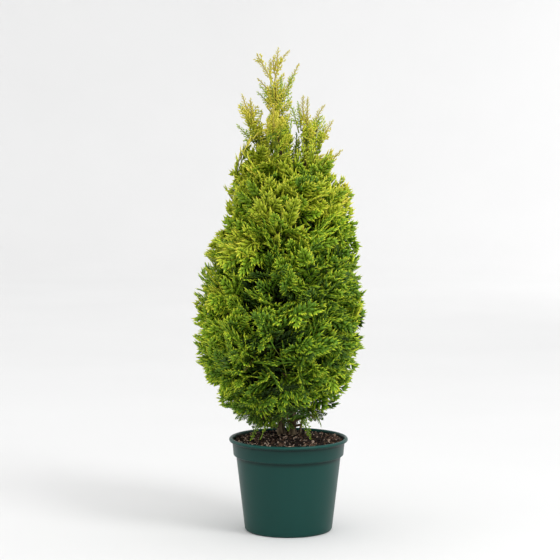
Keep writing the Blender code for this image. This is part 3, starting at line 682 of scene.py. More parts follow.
class SpireSpace:
    """The space of an upright lobe, round the line from its foot to its summit."""

    def __init__(self, name):
        foot, summit, widths = SPIRES[name]
        self.name = name
        self.tier = "spire"
        self.foot = Vector(foot)
        self.axis = (Vector(summit) - self.foot).normalized()
        self.height = (Vector(summit) - self.foot).length
        self.side = self.axis.orthogonal().normalized()
        self.widths = tuple(zip((0.0, 0.5, 1.0), widths))
        self.lift = math.radians(SPIRE_LIFT)
        self.heart = self.foot + self.axis * self.height * SPIRE_HEART

    def place(self, across, up, out):
        turn = Matrix.Rotation(across * math.pi, 3, self.axis)
        arm = turn @ self.side * between(self.widths, up) * out
        return self.foot + self.axis * self.height * up + arm

    def outward(self, point):
        arm = point - self.foot - self.axis * (point - self.foot).dot(self.axis)
        return arm.normalized() if arm.length > AXIS_NEAREST else self.side

    def beyond(self, point):
        up = (point - self.foot).dot(self.axis) / self.height
        arm = point - self.foot - self.axis * self.height * up
        return max(arm.length - between(self.widths, up), (up - 1.0) * self.height)

    def girth(self, up):
        return math.tau * between(self.widths, up)


sectors = [Sector(tier, number) for tier in TIERS for number in range(TIERS[tier][5])]
spires = [SpireSpace(name) for name in SPIRES]
spaces = {space.name: space for space in sectors + spires}
for stem_name, mass in STEM_MASSES.items():
    spaces[mass].foot = Vector(STEM_LINES[stem_name][-1][:3])
spaces["leader"].heart = Vector(LEADER_HEART)

# The boughs. Live limbs a pencil thick, with the same fibrous bark as the stems. Each
# leaves its stem at a height of its own and curves out and up to the foot of its mass,
# but for the lowest ones, which are nearly level.
BOUGH_RISE = {"skirt": 0.000, "lower": 0.022, "middle": 0.026, "upper": 0.028, "shoulder": 0.030}
SPIRE_RISE = 0.024
BOUGH_STAGGER = 0.0145
SPIRE_SEED = 40
BOUGH_FOOT_SHARE = 0.56
BOUGH_END_SHARE = 0.45
FORK_SHARE = math.cos(math.radians(55.0))
MASS_STEM_RADIUS = 0.0036
BOUGH_SIDES = 12
BOUGH_STEP = 0.0045


def tube(path, radii, sides, relief=None):
    """A closed tapering tube along a path, as points and triangles."""
    path = np.asarray(path, float)
    ways = np.gradient(path, axis=0)
    ways /= np.linalg.norm(ways, axis=1)[:, None]
    across = np.array(Vector(ways[0]).orthogonal().normalized())
    turns = np.arange(sides) * math.tau / sides
    rings = [path[:1]]
    for number, (centre, way, radius) in enumerate(zip(path, ways, radii)):
        across = across - way * across.dot(way)
        across /= np.linalg.norm(across)
        spokes = np.outer(np.cos(turns), across) + np.outer(np.sin(turns), np.cross(way, across))
        swell = 1.0 if relief is None else 1.0 + np.array([relief(t, number) for t in turns])[:, None]
        rings.append(centre + radius * swell * spokes)
    rings.append(path[-1:])
    count = len(path)
    last = 1 + sides * count
    faces = []
    for side in range(sides):
        following = (side + 1) % sides
        faces.append((0, 1 + following, 1 + side))
        faces.append((last, last - sides + side, last - sides + following))
        for ring in range(count - 1):
            low, high = 1 + ring * sides, 1 + (ring + 1) * sides
            faces.append((low + side, low + following, high + following))
            faces.append((low + side, high + following, high + side))
    return np.concatenate(rings), np.array(faces)


def curve_through(start, bend, end, steps):
    """Points on the smooth curve from start to end that heads for the bend."""
    shares = np.linspace(0.0, 1.0, steps + 1)[:, None]
    start, bend, end = (np.array(point) for point in (start, bend, end))
    return (1 - shares) ** 2 * start + 2 * shares * (1 - shares) * bend + shares**2 * end


def grow_limb(heap, start, bend, end, steps, radii, sides, relief=None):
    """Adds one tapering limb to a heap, and returns the points of its curve."""
    path = curve_through(start, bend, end, steps)
    heap.add(*tube(path, np.linspace(*radii, steps + 1), sides, relief))
    return path


boughs = Heap()


def grow_bough(space, rise, seed):
    """One bough, from the nearer of the two stout stems to the foot of its mass."""
    heading = (space.heart - space.foot).normalized()
    toward = from_middle(space.foot).normalized()
    line = STEM_LINES["side_stem" if toward.x > FORK_SHARE else "trunk"]
    start_height = space.foot.z - rise
    x, y, stem_radius = on_line(line, start_height)
    start = Vector((x, y, start_height))
    span = (space.foot - start).length
    bend = space.foot - heading * BOUGH_END_SHARE * span
    steps = max(5, round(span / BOUGH_STEP))
    radii = (max(BOUGH_FOOT_SHARE * stem_radius, MASS_STEM_RADIUS), MASS_STEM_RADIUS)

    def relief(turn, number):
        return BARK_DEPTH * bark_relief(turn, number * span / steps, seed)

    grow_limb(boughs, start, bend, space.foot, steps, radii, BOUGH_SIDES, relief)


for count, sector in enumerate(sectors, 1):
    if sector.name not in STEM_MASSES.values():
        steps = sector.number % 2 if sector.tier == "skirt" else sector.number
        grow_bough(sector, BOUGH_RISE[sector.tier] + BOUGH_STAGGER * steps, count)
for number, spire in enumerate(spires):
    if spire.name not in STEM_MASSES.values():
        grow_bough(spire, SPIRE_RISE + BOUGH_STAGGER * number, SPIRE_SEED + number)
bough_nodes = [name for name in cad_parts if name.startswith("bough_")]
keep(boughs.piece("bough_bark", True), bark, "bark", *bough_nodes)

# The sprays. Flat fans of scale leaves, soft and waxy: a midrib with fingers left and
# right by turns, lobes on them, and this year's growth bright at the tips. Fans, lacy
# ones for the spires, sprigs and plain fillers share one finger, one tip and one lobe.
SPRAY_VARIANTS = 12
SPRIG_VARIANTS = 5
FILLER_VARIANTS = 3
SPRAY_BOW = 0.16
SPRAY_NOD = 0.26
RIB_SHARES = (0.0, 0.45, 0.92)
RIB_WIDTHS = (0.34, 0.30, 0.20)
FINGER_LENGTHS = ((0.0, 0.68), (0.20, 1.0), (0.50, 0.80), (0.90, 0.36))
FINGER_RANGE = (0.82, 1.14)
FINGER_FIRST = 0.06
FINGER_SPAN = 0.80
# The last finger's place and length, and how the others lean: at the midrib's foot, how
# much less at its end, and their spread.
END_FINGER = (0.78, 0.26)
FINGER_LEAN = (48.0, 18.0, 4.0)
FINGER_SWING = 0.10
FINGER_THICKNESS = 0.32
FINGER_CUT = 0.94
KNUCKLE = 0.54
TIP_LENGTH = 0.58
TIP_BEND = (0.70, 0.14)
TIP_THICKNESS = 0.70
# Where the first lobe sits on its finger, how much lower the next one, and their spread.
LOBE_PLACE = (0.52, 0.18, 0.06)
LOBE_LEAN = 0.58
LOBE_SIZE = (0.9, 0.6)
LOBE_LENGTHS = (0.30, 0.46)
BLADE_NEAR = 0.01


def blade(widest, flat):
    """A slim closed blade from 0 to 1 along Z, three-sided, widest at a share of it."""
    bpy.ops.object.select_all(action="DESELECT")
    bpy.ops.mesh.primitive_cone_add(
        vertices=3,
        radius1=0.5,
        depth=1.0 - widest,
        location=(0.0, 0.0, (1.0 + widest) / 2),
        end_fill_type="TRIFAN" if widest else "NGON",
    )
    made = bpy.context.object
    bpy.ops.object.transform_apply(location=True, rotation=True, scale=True)
    edit_all(made)
    bpy.ops.transform.resize(value=(1.0, flat, 1.0), center_override=(0.0, 0.0, 0.0))
    bpy.ops.object.mode_set(mode="OBJECT")
    for vertex in made.data.vertices:
        if vertex.co.z < widest + BLADE_NEAR and vertex.co.xy.length < BLADE_NEAR:
            vertex.co.z = 0.0
    return taken(made)


FINGER = blade(0.55, 0.80)
TIP = blade(0.40, 0.85)
LOBE = blade(0.0, 0.75)


def axes_of(along, normal):
    """A spray's three axes: across it, out of its face and along it."""
    across = normal.cross(along).normalized()
    return across, along.cross(across), along


def set_on(shape, foot, along, normal, sizes):
    """A shape moved to its foot, its Z along one way and its Y along a normal."""
    points, faces = shape
    axes = axes_of(along.normalized(), normal)
    return points @ np.array([axis * size for axis, size in zip(axes, sizes)]) + np.array(foot), faces


class Spray:
    """One laid-out fan, a unit long: its body and its bright tips, as arrays."""

    def __init__(self, name, fingers, width, tip_width, reach, lobes):
        dice = random.Random(f"{SEED} {name}")
        self.bow = dice.uniform(-SPRAY_BOW, SPRAY_BOW)
        self.nod = dice.uniform(0.0, SPRAY_NOD)
        self.ends = []
        body, tips = Heap(), Heap()
        rib = [self.midrib(share) for share in RIB_SHARES]
        body.add(*tube(rib, [share * tip_width for share in RIB_WIDTHS], 3))
        normal = Vector((0.0, 1.0, 0.0))
        wide, closing, spread = FINGER_LEAN
        first, gap, jitter = LOBE_PLACE
        for number in range(fingers + 1):
            last = number == fingers
            share, length = END_FINGER
            if not last:
                share = FINGER_FIRST + FINGER_SPAN * number / (fingers - 1)
            side = 0 if last else 1 if number % 2 else -1
            foot = self.midrib(share)
            lean = side * math.radians(wide - closing * share + dice.gauss(0.0, spread))
            swing = dice.gauss(0.0, FINGER_SWING)
            if not last:
                length = reach * between(FINGER_LENGTHS, share) * dice.uniform(*FINGER_RANGE)
            along = self.heading(share, lean, swing)
            bent = self.heading(share, lean * TIP_BEND[0], swing - TIP_BEND[1])
            size = (width, FINGER_THICKNESS * width, length * FINGER_CUT)
            body.add(*set_on(FINGER, foot, along, normal, size))
            knuckle = foot + along * length * KNUCKLE
            self.ends.append(knuckle + bent.normalized() * length * TIP_LENGTH)
            if not lobes:
                continue
            size = (tip_width, TIP_THICKNESS * tip_width, length * TIP_LENGTH)
            tips.add(*set_on(TIP, knuckle, bent, normal, size))
            for lobe in range(0 if last else lobes):
                turn = side if lobe == 0 else -side
                place = foot + along * length * (first - gap * lobe + dice.uniform(-jitter, jitter))
                way = self.heading(share, lean + turn * LOBE_LEAN, swing)
                size = [part * tip_width for part in LOBE_SIZE]
                size.append(length * dice.uniform(*LOBE_LENGTHS))
                (tips if lobe == 0 else body).add(*set_on(LOBE, place, way, normal, size))
        self.body = body.arrays()
        self.tips = tips.arrays() if lobes else None

    def midrib(self, share):
        return Vector((self.bow * share * share, -self.nod * share * share, share))

    def heading(self, share, lean, swing):
        """The way that a finger leaves the midrib, leaning in the fan and out of it."""
        rib = Vector((2 * self.bow * share, -2 * self.nod * share, 1.0)).normalized()
        return Matrix.Rotation(lean, 3, "Y") @ rib + Vector((0.0, -swing, 0.0))


# Each kind: its fingers, their width, the tips' width, its reach and lobes on a finger.
SPRAY_KINDS = {
    "fan": [Spray(f"fan {i}", 12, 0.136, 0.054, 0.43, 2) for i in range(SPRAY_VARIANTS)],
    "lace": [Spray(f"lace {i}", 9, 0.082, 0.074, 0.40, 1) for i in range(SPRAY_VARIANTS)],
    "sprig": [Spray(f"sprig {i}", 4, 0.200, 0.190, 0.42, 1) for i in range(SPRIG_VARIANTS)],
    "filler": [Spray(f"filler {i}", 8, 0.240, 0.120, 0.46, 0) for i in range(FILLER_VARIANTS)],
}

# The leaf colours, from the shaded inner sprays to the sunlit ones and the gold ones
# of the topmost shoots: each shade has its own body and its own new growth.
LEAF_SHADES = {
    "shade": ((0.024, 0.052, 0.0085), (0.038, 0.076, 0.0110)),
    "deep": ((0.052, 0.122, 0.0080), (0.205, 0.325, 0.0140)),
    "leaf": ((0.118, 0.248, 0.0115), (0.450, 0.610, 0.0220)),
    "lime": ((0.260, 0.435, 0.0190), (0.700, 0.810, 0.0400)),
    "straw": ((0.430, 0.535, 0.0260), (0.840, 0.840, 0.0650)),
    "gold": ((0.580, 0.550, 0.0380), (0.880, 0.775, 0.1050)),
}
SHADE_ORDER = tuple(LEAF_SHADES)
SHADE_SPREAD = 0.24
laid = {}


def shaded(level, dice):
    """The shade whose place in the order is nearest a level, with a little chance."""
    number = round(level + dice.gauss(0.0, SHADE_SPREAD))
    return SHADE_ORDER[min(max(number, 0), len(SHADE_ORDER) - 1)]


def lay(kind, variant, root, along, normal, length, shade):
    """Notes one spray: where it grows from, its way, its face and its shade."""
    axes = axes_of(along.normalized(), normal)
    row = [value for axis in axes for value in axis * length]
    laid.setdefault((shade, kind, variant), []).append([*row, *root])


# The twigs and their fans. A mass has its own thin stem from its bough to its heart.
# Twigs leave it for the outside of the mass, and each carries a branchlet: a flat
# feather of fans left and right by turns, arched so that its end nods outward.
UP = Vector((0.0, 0.0, 1.0))
# Each tier: how far apart its branchlets stand, and how deep inside its rim they may.
TIER_GROWTH = {
    "skirt": (0.052, 0.018),
    "lower": (0.046, 0.010),
    "middle": (0.045, 0.010),
    "upper": (0.045, 0.016),
    "shoulder": (0.045, 0.026),
    "spire": (0.037, 0.010),
}
DEPTH_POWER = 1.4
# A branchlet's length, how many fans stand along it and how long they are.
CROWN_PLUME = (0.128, 4, 0.098)
SPIRE_PLUME = (0.070, 5, 0.048)
FILLER_PLUME = (0.8 * CROWN_PLUME[0], 5, 1.2 * CROWN_PLUME[2])
PLUME_RANGE = (0.76, 1.14)
PLUME_ARCH = (0.08, 0.34)
PLUME_FIRST = 0.08
PLUME_END = 0.58
PLUME_END_GAP = 0.10
PLUME_RIB = (0.0014, 0.0008)
ACROSS_JITTER = 0.35
UP_JITTER = 0.08
UP_RANGE = (0.02, 0.98)
LIFT_SPREAD = 14.0
SWAY_SPREAD = 20.0
ROLL_SPREAD = 50.0
# The fans' lean at the rib's foot, how much less it is at its end, and its spread.
FAN_LEAN = (50.0, 24.0, 6.0)
FAN_SWING = 0.16
FAN_DROOP = (0.03, 0.12)
# Fans grow shorter along the rib, but those at its very foot are short as well.
FAN_TAPER = (1.08, 0.34)
FAN_FIRST = (0.74, 0.26, 4.0)
FAN_RANGE = (0.84, 1.14)
FAN_TWIST = 0.20
FAN_DRAW_BACK = 0.50
FAN_SHORTEST = 0.66
REACH_SLACK = 0.003
ROOT_NEAREST = 0.030
ROOT_INSIDE = 0.012
ROOT_NEARER = 0.88
KNOT_DROP = 0.020
KNOT_FIRST = 0.20
TWIG_BEND = (0.55, 0.10)
TWIG_RADII = (0.0019, 0.0013)
CROWN_STEM_END = 0.0026
SPIRE_STEM_END = 0.0012
# The filler deep in a mass, old inner foliage painted near black as the shade inside the
# crown: its depths, its spacing, its highest place and its shade.
FILLER_DEPTHS = (0.048, 0.090)
FILLER_PITCH = 1.40
FILLER_TOP = 0.87
FILLER_LEVELS = ((0.62, 0.0), (0.84, 1.4))
# A branchlet's shade by its height, as a number in the shades' order: paler high up,
# partly the plant's own new growth and partly painted light from above, and darker low
# down as painted shade under the skirt. Then its chance spread, the painted light that the
# sides add to it, and the most it may be.
LIGHT_LEVELS = (
    (0.22, 0.6),
    (0.30, 1.55),
    (0.36, 2.15),
    (0.52, 1.75),
    (0.66, 2.3),
    (0.78, 3.25),
    (0.90, 3.9),
    (1.00, 4.7),
)
LIGHT_SPREAD = 0.66
LIGHT_SIDES = {"left": 2.1, "right": 0.9}
LIGHT_MOST = ((0.30, 2.7), (0.55, 3.5), (0.75, 3.8), (0.88, 4.3), (1.00, 5.2))
# How fast a branchlet is painted paler along its rib, painted shade near the rib's foot and
# painted light at its end, and how much painted shade darkens the deepest ones.
LIGHT_ALONG = 1.3
LIGHT_INWARD = 0.7
# The skirt's lower edge: its height by x, its tilt to the front, its raggedness, and
# how far below it the end of a fan may hang.
SKIRT_EDGE = (
    (-0.180, 0.288),
    (-0.140, 0.266),
    (-0.086, 0.254),
    (-0.040, 0.264),
    (0.000, 0.268),
    (0.050, 0.290),
    (0.160, 0.324),
)
SKIRT_TILT = 0.156
SKIRT_RAGGED = 0.005
FAN_HANG = 0.014
# The share of a spire's height above which it has no branchlets of its own.
LOOSE_FROM = {"leader": 0.58, "right_spire": 0.66, "far_right_spire": 0.60, "left_spire": 0.84}
WALK_STEPS = 60
twigs = {"brown": Heap(), "green": Heap()}


def tip_places(space, pitch, dice):
    """Shares (across, up) spread evenly over the outside of a space, row by row."""
    walk = [space.place(0.0, i / WALK_STEPS, 1.0) for i in range(WALK_STEPS + 1)]
    lengths = [0.0]
    for low, high in zip(walk, walk[1:]):
        lengths.append(lengths[-1] + (high - low).length)
    rows = max(1, round(lengths[-1] / pitch))
    places = []
    for row in range(rows):
        wanted = lengths[-1] * (row + 0.5) / rows
        up = next(i for i, length in enumerate(lengths) if length >= wanted) / WALK_STEPS
        columns = max(2, round(space.girth(up) / pitch))
        for column in range(columns):
            shift = dice.uniform(-ACROSS_JITTER, ACROSS_JITTER) + 0.5 * (row % 2)
            across = 2 * (column + 0.5 + shift) / columns % 2.0 - 1.0
            height = up + dice.uniform(-UP_JITTER, UP_JITTER)
            places.append((across, min(max(height, UP_RANGE[0]), UP_RANGE[1])))
    return places


def light_level(point, dice):
    """How bright a branchlet is painted: paler high up, partly as its own new growth and partly as
    painted light, and paler to the sides as painted light.
    """
    off = point.x - between(CROWN_MIDDLE, point.z)
    side = LIGHT_SIDES["left" if off < 0.0 else "right"] * abs(off) / between(CROWN_REACH, point.z)
    level = between(LIGHT_LEVELS, point.z) + side + dice.gauss(0.0, LIGHT_SPREAD)
    return min(level, between(LIGHT_MOST, point.z))


def below_skirt(point, dice):
    """Whether a point hangs under the skirt, whose edge rises to both sides and the front."""
    edge = between(SKIRT_EDGE, point.x) - SKIRT_TILT * point.y
    return point.z < edge + dice.gauss(0.0, SKIRT_RAGGED)


def overshoot(space, spray, spot, way, normal, reach):
    """How far the fingers of a fan stand out past the crown's reach."""
    across, face, way = axes_of(way, normal)
    ends = (across * end.x + face * end.y + way * end.z for end in spray.ends)
    return max(space.beyond(spot + end * reach) for end in ends)


def squared(face, way):
    """A face turned until it stands square to a way."""
    return (face - way * face.dot(way)).normalized()


def grow_plume(space, root, tip, face, level, kind, fans, fan_length, depth, dice):
    """One branchlet: an arched midrib with fans on both sides and one at its end.

    Returns how far along its rib the last fan stands, so 0 where there is room for none.
    """
    along = tip - root
    heading = along.normalized()
    lifted = (UP - heading * UP.dot(heading)).normalized()
    bend = root + along * 0.5 + lifted * along.length * dice.uniform(*PLUME_ARCH)
    wide, closing, spread = FAN_LEAN
    full, taper = FAN_TAPER
    first, rest, rate = FAN_FIRST
    reached = 0.0
    for number in range(fans + 1):
        last = number == fans
        share = PLUME_END
        if not last:
            share = PLUME_FIRST + (PLUME_END - PLUME_END_GAP) * number / (fans - 1)
        on_rib = root.lerp(bend, share).lerp(bend.lerp(tip, share), share)
        spot = on_rib.copy()
        way = (bend - root).lerp(tip - bend, share).normalized()
        normal = squared(face, way)
        side = 0 if last else 1 if number % 2 else -1
        lean = math.radians(wide - closing * share + dice.gauss(0.0, spread))
        fan_way = Matrix.Rotation(side * lean, 3, normal) @ way + normal * dice.gauss(0.0, FAN_SWING)
        fan_way -= UP * max(0.0, dice.gauss(*FAN_DROOP))
        fan_way.normalize()
        reach = fan_length * (full - taper * share) * (first + rest * min(1.0, rate * share))
        reach *= dice.uniform(*FAN_RANGE)
        variant = dice.randrange(len(SPRAY_KINDS[kind]))
        spray = SPRAY_KINDS[kind][variant]
        normal = Matrix.Rotation(dice.gauss(0.0, FAN_TWIST), 3, fan_way) @ normal
        over = overshoot(space, spray, spot, fan_way, normal, reach) + depth
        if over > 0.0:
            drawn_back = min(over, FAN_DRAW_BACK * reach)
            spot -= fan_way * drawn_back
            reach *= max(FAN_SHORTEST, 1.0 - (over - drawn_back) / reach)
        end = spot + fan_way * reach
        if overshoot(space, spray, spot, fan_way, normal, reach) + depth > REACH_SLACK:
            continue
        if depth > 0.0 and below_skirt(end + UP * FAN_HANG, dice):
            continue
        # Painted shade and light: fans near the rib's foot get a darker shade, those at its end a
        # paler one.
        shade = shaded(level + LIGHT_ALONG * (share - 0.5), dice)
        lay(kind, variant, spot, fan_way, normal, reach, shade)
        reached = share
        last_spot = on_rib
    if reached:
        grow_limb(twigs["green"], root, root.lerp(bend, reached), last_spot, 6, PLUME_RIB, 3)
    return reached


def grow_mass(space):
    """One mass: its own stem, twigs to the outside, a branchlet on each, and filler."""
    dice = random.Random(f"{SEED} {space.name}")
    spire = space.tier == "spire"
    pitch, deepest = TIER_GROWTH[space.tier]
    kind, (plume_length, fans, fan_length) = ("lace", SPIRE_PLUME) if spire else ("fan", CROWN_PLUME)
    stem_path = np.linspace(space.foot, space.heart, 5)
    stem_end = SPIRE_STEM_END if spire else CROWN_STEM_END
    twigs["brown"].add(*tube(stem_path, np.linspace(MASS_STEM_RADIUS, stem_end, 5), 6))
    stem_way = space.heart - space.foot

    def branch(across, up, depth, level, kind, length, fans, fan_length):
        """One twig from the mass's stem, with its branchlet near the mass's outside."""
        tip = space.place(across, up, 1.0)
        tip -= space.outward(tip) * depth
        if below_skirt(tip, dice):
            return
        lift = space.lift + math.radians(dice.gauss(0.0, LIFT_SPREAD))
        sway = Matrix.Rotation(math.radians(dice.gauss(0.0, SWAY_SPREAD)), 3, "Z")
        aim = sway @ space.outward(tip) * math.cos(lift) + UP * math.sin(lift)
        root = tip - aim * length
        while length > ROOT_NEAREST and space.beyond(root) > -ROOT_INSIDE:
            length *= ROOT_NEARER
            root = tip - aim * length
        share = (root - UP * KNOT_DROP - space.foot).dot(stem_way) / stem_way.length_squared
        knot = space.foot + stem_way * min(max(share, KNOT_FIRST), 1.0)
        bend = knot.lerp(root, TWIG_BEND[0]) - UP * TWIG_BEND[1] * (root - knot).length
        roll = Matrix.Rotation(math.radians(dice.gauss(0.0, ROLL_SPREAD)), 3, aim)
        face = roll @ aim.cross(UP).cross(aim).normalized()
        if grow_plume(space, root, tip, face, level, kind, fans, fan_length, depth, dice):
            heap = twigs["green" if spire else "brown"]
            grow_limb(heap, knot, bend, root, 4, TWIG_RADII, 4)

    for across, up in tip_places(space, pitch, dice):
        if up > LOOSE_FROM.get(space.name, 1.0):
            continue
        sunk = dice.random() ** DEPTH_POWER
        length = plume_length * dice.uniform(*PLUME_RANGE)
        # Painted shade: a branchlet sunk deeper into its mass is given a darker shade.
        level = light_level(space.place(across, up, 1.0), dice) - LIGHT_INWARD * sunk
        branch(across, up, deepest * sunk, level, kind, length, fans, fan_length)
    if not spire:
        for across, up in tip_places(space, FILLER_PITCH * pitch, dice):
            depth = dice.uniform(*FILLER_DEPTHS)
            height = space.place(across, up, 1.0).z
            if height < FILLER_TOP:
                branch(across, up, depth, between(FILLER_LEVELS, height), "filler", *FILLER_PLUME)


for space in sectors + spires:
    grow_mass(space)

# The low branchlets. A few small fronds hang from the stems under the skirt, nearly
# down to the rim of the pot, dark green in the crown's shade. Each is a root near a
# stem, a tip, how bright it is and the length of its fans.
LOW_FRONDS = (
    ((-0.035, -0.035, 0.288), (-0.080, -0.060, 0.246), 1.3, 0.030),
    ((-0.030, -0.020, 0.280), (-0.058, -0.070, 0.248), 1.6, 0.028),
    ((-0.045, 0.020, 0.282), (-0.100, 0.050, 0.246), 0.8, 0.030),
    ((-0.024, 0.020, 0.276), (-0.052, 0.062, 0.240), 0.6, 0.030),
    ((-0.070, -0.030, 0.296), (-0.124, -0.050, 0.268), 1.3, 0.030),
    ((-0.075, 0.030, 0.296), (-0.134, 0.050, 0.260), 0.9, 0.030),
    ((-0.050, -0.045, 0.292), (-0.098, -0.080, 0.262), 1.2, 0.032),
    ((-0.016, -0.045, 0.290), (-0.034, -0.085, 0.258), 1.5, 0.028),
    ((-0.004, -0.034, 0.292), (-0.001, -0.054, 0.238), 1.2, 0.022),
    ((0.040, 0.000, 0.296), (0.075, -0.010, 0.264), 1.0, 0.030),
    ((0.026, -0.026, 0.294), (0.042, -0.060, 0.258), 1.5, 0.024),
    ((0.030, 0.020, 0.290), (0.048, 0.050, 0.254), 0.8, 0.028),
    ((0.014, 0.024, 0.284), (0.020, 0.060, 0.230), 0.7, 0.028),
    ((-0.004, 0.018, 0.284), (-0.003, 0.056, 0.226), 0.3, 0.030),
    ((-0.010, 0.026, 0.290), (-0.018, 0.080, 0.246), 0.4, 0.028),
)
FROND_FANS = 6
FROND_RISE = 0.030
FROND_BEND = (0.6, 0.004)
FROND_RADII = (0.0017, 0.0013)
FROND_TURN = 0.5
FROND_TILT = (0.2, 0.8)
FROND_OUT = -0.060
dice = random.Random(f"{SEED} low fronds")
for root, tip, level, fan_length in LOW_FRONDS:
    root, tip = Vector(root), Vector(tip)
    stem = STEM_LINES["side_stem" if root.x > 0.0 else "trunk"]
    x, y, _ = on_line(stem, root.z + FROND_RISE)
    start = Vector((x, y, root.z + FROND_RISE))
    bend = start.lerp(root, FROND_BEND[0]) + UP * FROND_BEND[1]
    grow_limb(twigs["brown"], start, bend, root, 5, FROND_RADII, 4)
    face = Vector((dice.gauss(0.0, FROND_TURN), -1.0, dice.uniform(*FROND_TILT)))
    space = spaces["skirt_front_left" if root.x < 0.0 else "skirt_front_right"]
    grow_plume(space, root, tip, face, level, "fan", FROND_FANS, fan_length, FROND_OUT, dice)

# The top shoots and the lowest ones. Long thin shoots stand free over the leader and
# the shoulders, gold, lime or green with short side sprigs, and a few green ones hang
# down near the rim of the pot. Each is a root, a bend, a tip and a shade.
FREE_SHOOTS = (
    ((-0.0247, 0.000, 0.955), (-0.0230, 0.000, 1.003), (-0.0327, 0.000, 1.047), "gold"),
    ((-0.0327, 0.000, 1.047), (-0.0540, -0.003, 1.080), (-0.0736, -0.006, 1.117), "gold"),
    ((-0.0590, -0.004, 1.093), (-0.0640, -0.004, 1.101), (-0.0715, -0.006, 1.102), "gold"),
    ((-0.0420, -0.001, 1.066), (-0.0440, 0.006, 1.087), (-0.0430, 0.010, 1.100), "gold"),
    ((-0.0327, 0.000, 1.047), (-0.0310, 0.004, 1.094), (0.0024, 0.010, 1.127), "gold"),
    ((-0.0300, 0.003, 1.082), (-0.0270, 0.001, 1.106), (-0.0244, -0.004, 1.126), "gold"),
    ((-0.0310, 0.002, 1.070), (-0.0380, 0.006, 1.089), (-0.0350, 0.012, 1.110), "gold"),
    ((-0.0235, 0.000, 1.003), (0.0010, 0.002, 1.046), (0.0243, 0.008, 1.097), "gold"),
    ((0.0080, 0.010, 0.840), (0.0170, 0.012, 0.890), (0.0190, 0.014, 0.936), "leaf"),
    ((0.0180, -0.002, 0.840), (0.0260, -0.002, 0.880), (0.0200, 0.000, 0.918), "lime"),
    ((0.0120, 0.020, 0.840), (0.0210, 0.024, 0.884), (0.0250, 0.028, 0.922), "leaf"),
    ((-0.0010, 0.002, 1.043), (0.0030, -0.006, 1.059), (0.0100, -0.010, 1.065), "lime"),
    ((-0.0260, 0.000, 1.005), (-0.0400, 0.004, 1.027), (-0.0716, 0.006, 1.062), "gold"),
    ((-0.0280, -0.003, 0.997), (-0.0450, -0.010, 1.016), (-0.0655, -0.014, 1.045), "lime"),
    ((-0.0270, 0.002, 0.984), (-0.0480, 0.010, 1.005), (-0.0707, 0.014, 1.029), "lime"),
    ((-0.0240, -0.002, 1.003), (-0.0160, -0.012, 1.037), (-0.0177, -0.016, 1.064), "lime"),
    ((-0.0220, 0.002, 0.979), (-0.0080, 0.010, 0.998), (0.0042, 0.014, 1.015), "lime"),
    ((-0.0225, -0.001, 0.994), (-0.0060, -0.008, 1.022), (0.0049, -0.012, 1.044), "lime"),
    ((-0.0850, 0.001, 0.955), (-0.1000, 0.000, 0.994), (-0.1068, 0.000, 1.022), "gold"),
    ((-0.0800, 0.001, 0.950), (-0.0880, -0.004, 0.984), (-0.0881, -0.006, 1.011), "gold"),
    ((-0.0830, 0.000, 0.946), (-0.1020, 0.004, 0.979), (-0.1104, 0.008, 0.998), "lime"),
    ((-0.0720, 0.001, 0.903), (-0.1000, -0.004, 0.931), (-0.1175, -0.006, 0.952), "lime"),
    ((0.0400, -0.020, 0.927), (0.0300, -0.026, 0.984), (0.0333, -0.028, 1.020), "gold"),
    ((0.0240, -0.014, 0.935), (0.0150, -0.016, 0.972), (0.0060, -0.016, 0.996), "lime"),
    ((0.0290, -0.014, 0.940), (0.0260, -0.016, 0.976), (0.0224, -0.016, 1.004), "lime"),
    ((0.0410, -0.022, 0.936), (0.0440, -0.030, 0.984), (0.0434, -0.034, 1.015), "gold"),
    ((0.0493, 0.026, 0.927), (0.0600, 0.032, 0.970), (0.0845, 0.040, 0.999), "gold"),
    ((0.0560, 0.028, 0.941), (0.0640, 0.022, 0.960), (0.0740, 0.018, 0.970), "lime"),
    ((0.0700, 0.030, 0.903), (0.0880, 0.034, 0.941), (0.1020, 0.036, 0.960), "gold"),
    ((0.0750, -0.010, 0.840), (0.1000, -0.016, 0.874), (0.1212, -0.020, 0.894), "gold"),
    ((-0.0300, -0.070, 0.927), (-0.0360, -0.084, 0.960), (-0.0340, -0.090, 0.994), "gold"),
    ((-0.0240, 0.072, 0.931), (-0.0300, 0.086, 0.965), (-0.0280, 0.092, 0.997), "gold"),
    ((-0.0200, 0.070, 0.927), (-0.0060, 0.084, 0.955), (0.0040, 0.090, 0.979), "gold"),
    ((0.0200, -0.050, 0.285), (0.0420, -0.085, 0.262), (0.0491, -0.108, 0.236), "leaf"),
    ((0.0450, -0.030, 0.290), (0.0680, -0.062, 0.282), (0.0753, -0.088, 0.262), "leaf"),
    ((-0.0500, -0.040, 0.285), (-0.0740, -0.076, 0.262), (-0.0867, -0.096, 0.230), "leaf"),
    ((-0.0350, -0.050, 0.284), (-0.0560, -0.086, 0.262), (-0.0629, -0.112, 0.236), "leaf"),
)
SHOOT_STEPS = 8
SHOOT_SIDES = 5
SHOOT_RADII = (0.0017, 0.0009)
SHOOT_TURN = 0.5
SHOOT_TILT = 0.4
SPRIG_GAP = 0.0062
SPRIG_FIRST = 0.16
SPRIG_SPAN = 0.80
SPRIG_LEANS = (20.0, 38.0)
SPRIG_LENGTH = 0.0150
SPRIG_TAPER = (1.45, 1.10)
SPRIG_RANGE = (0.75, 1.25)
END_SPRIG = 0.0125

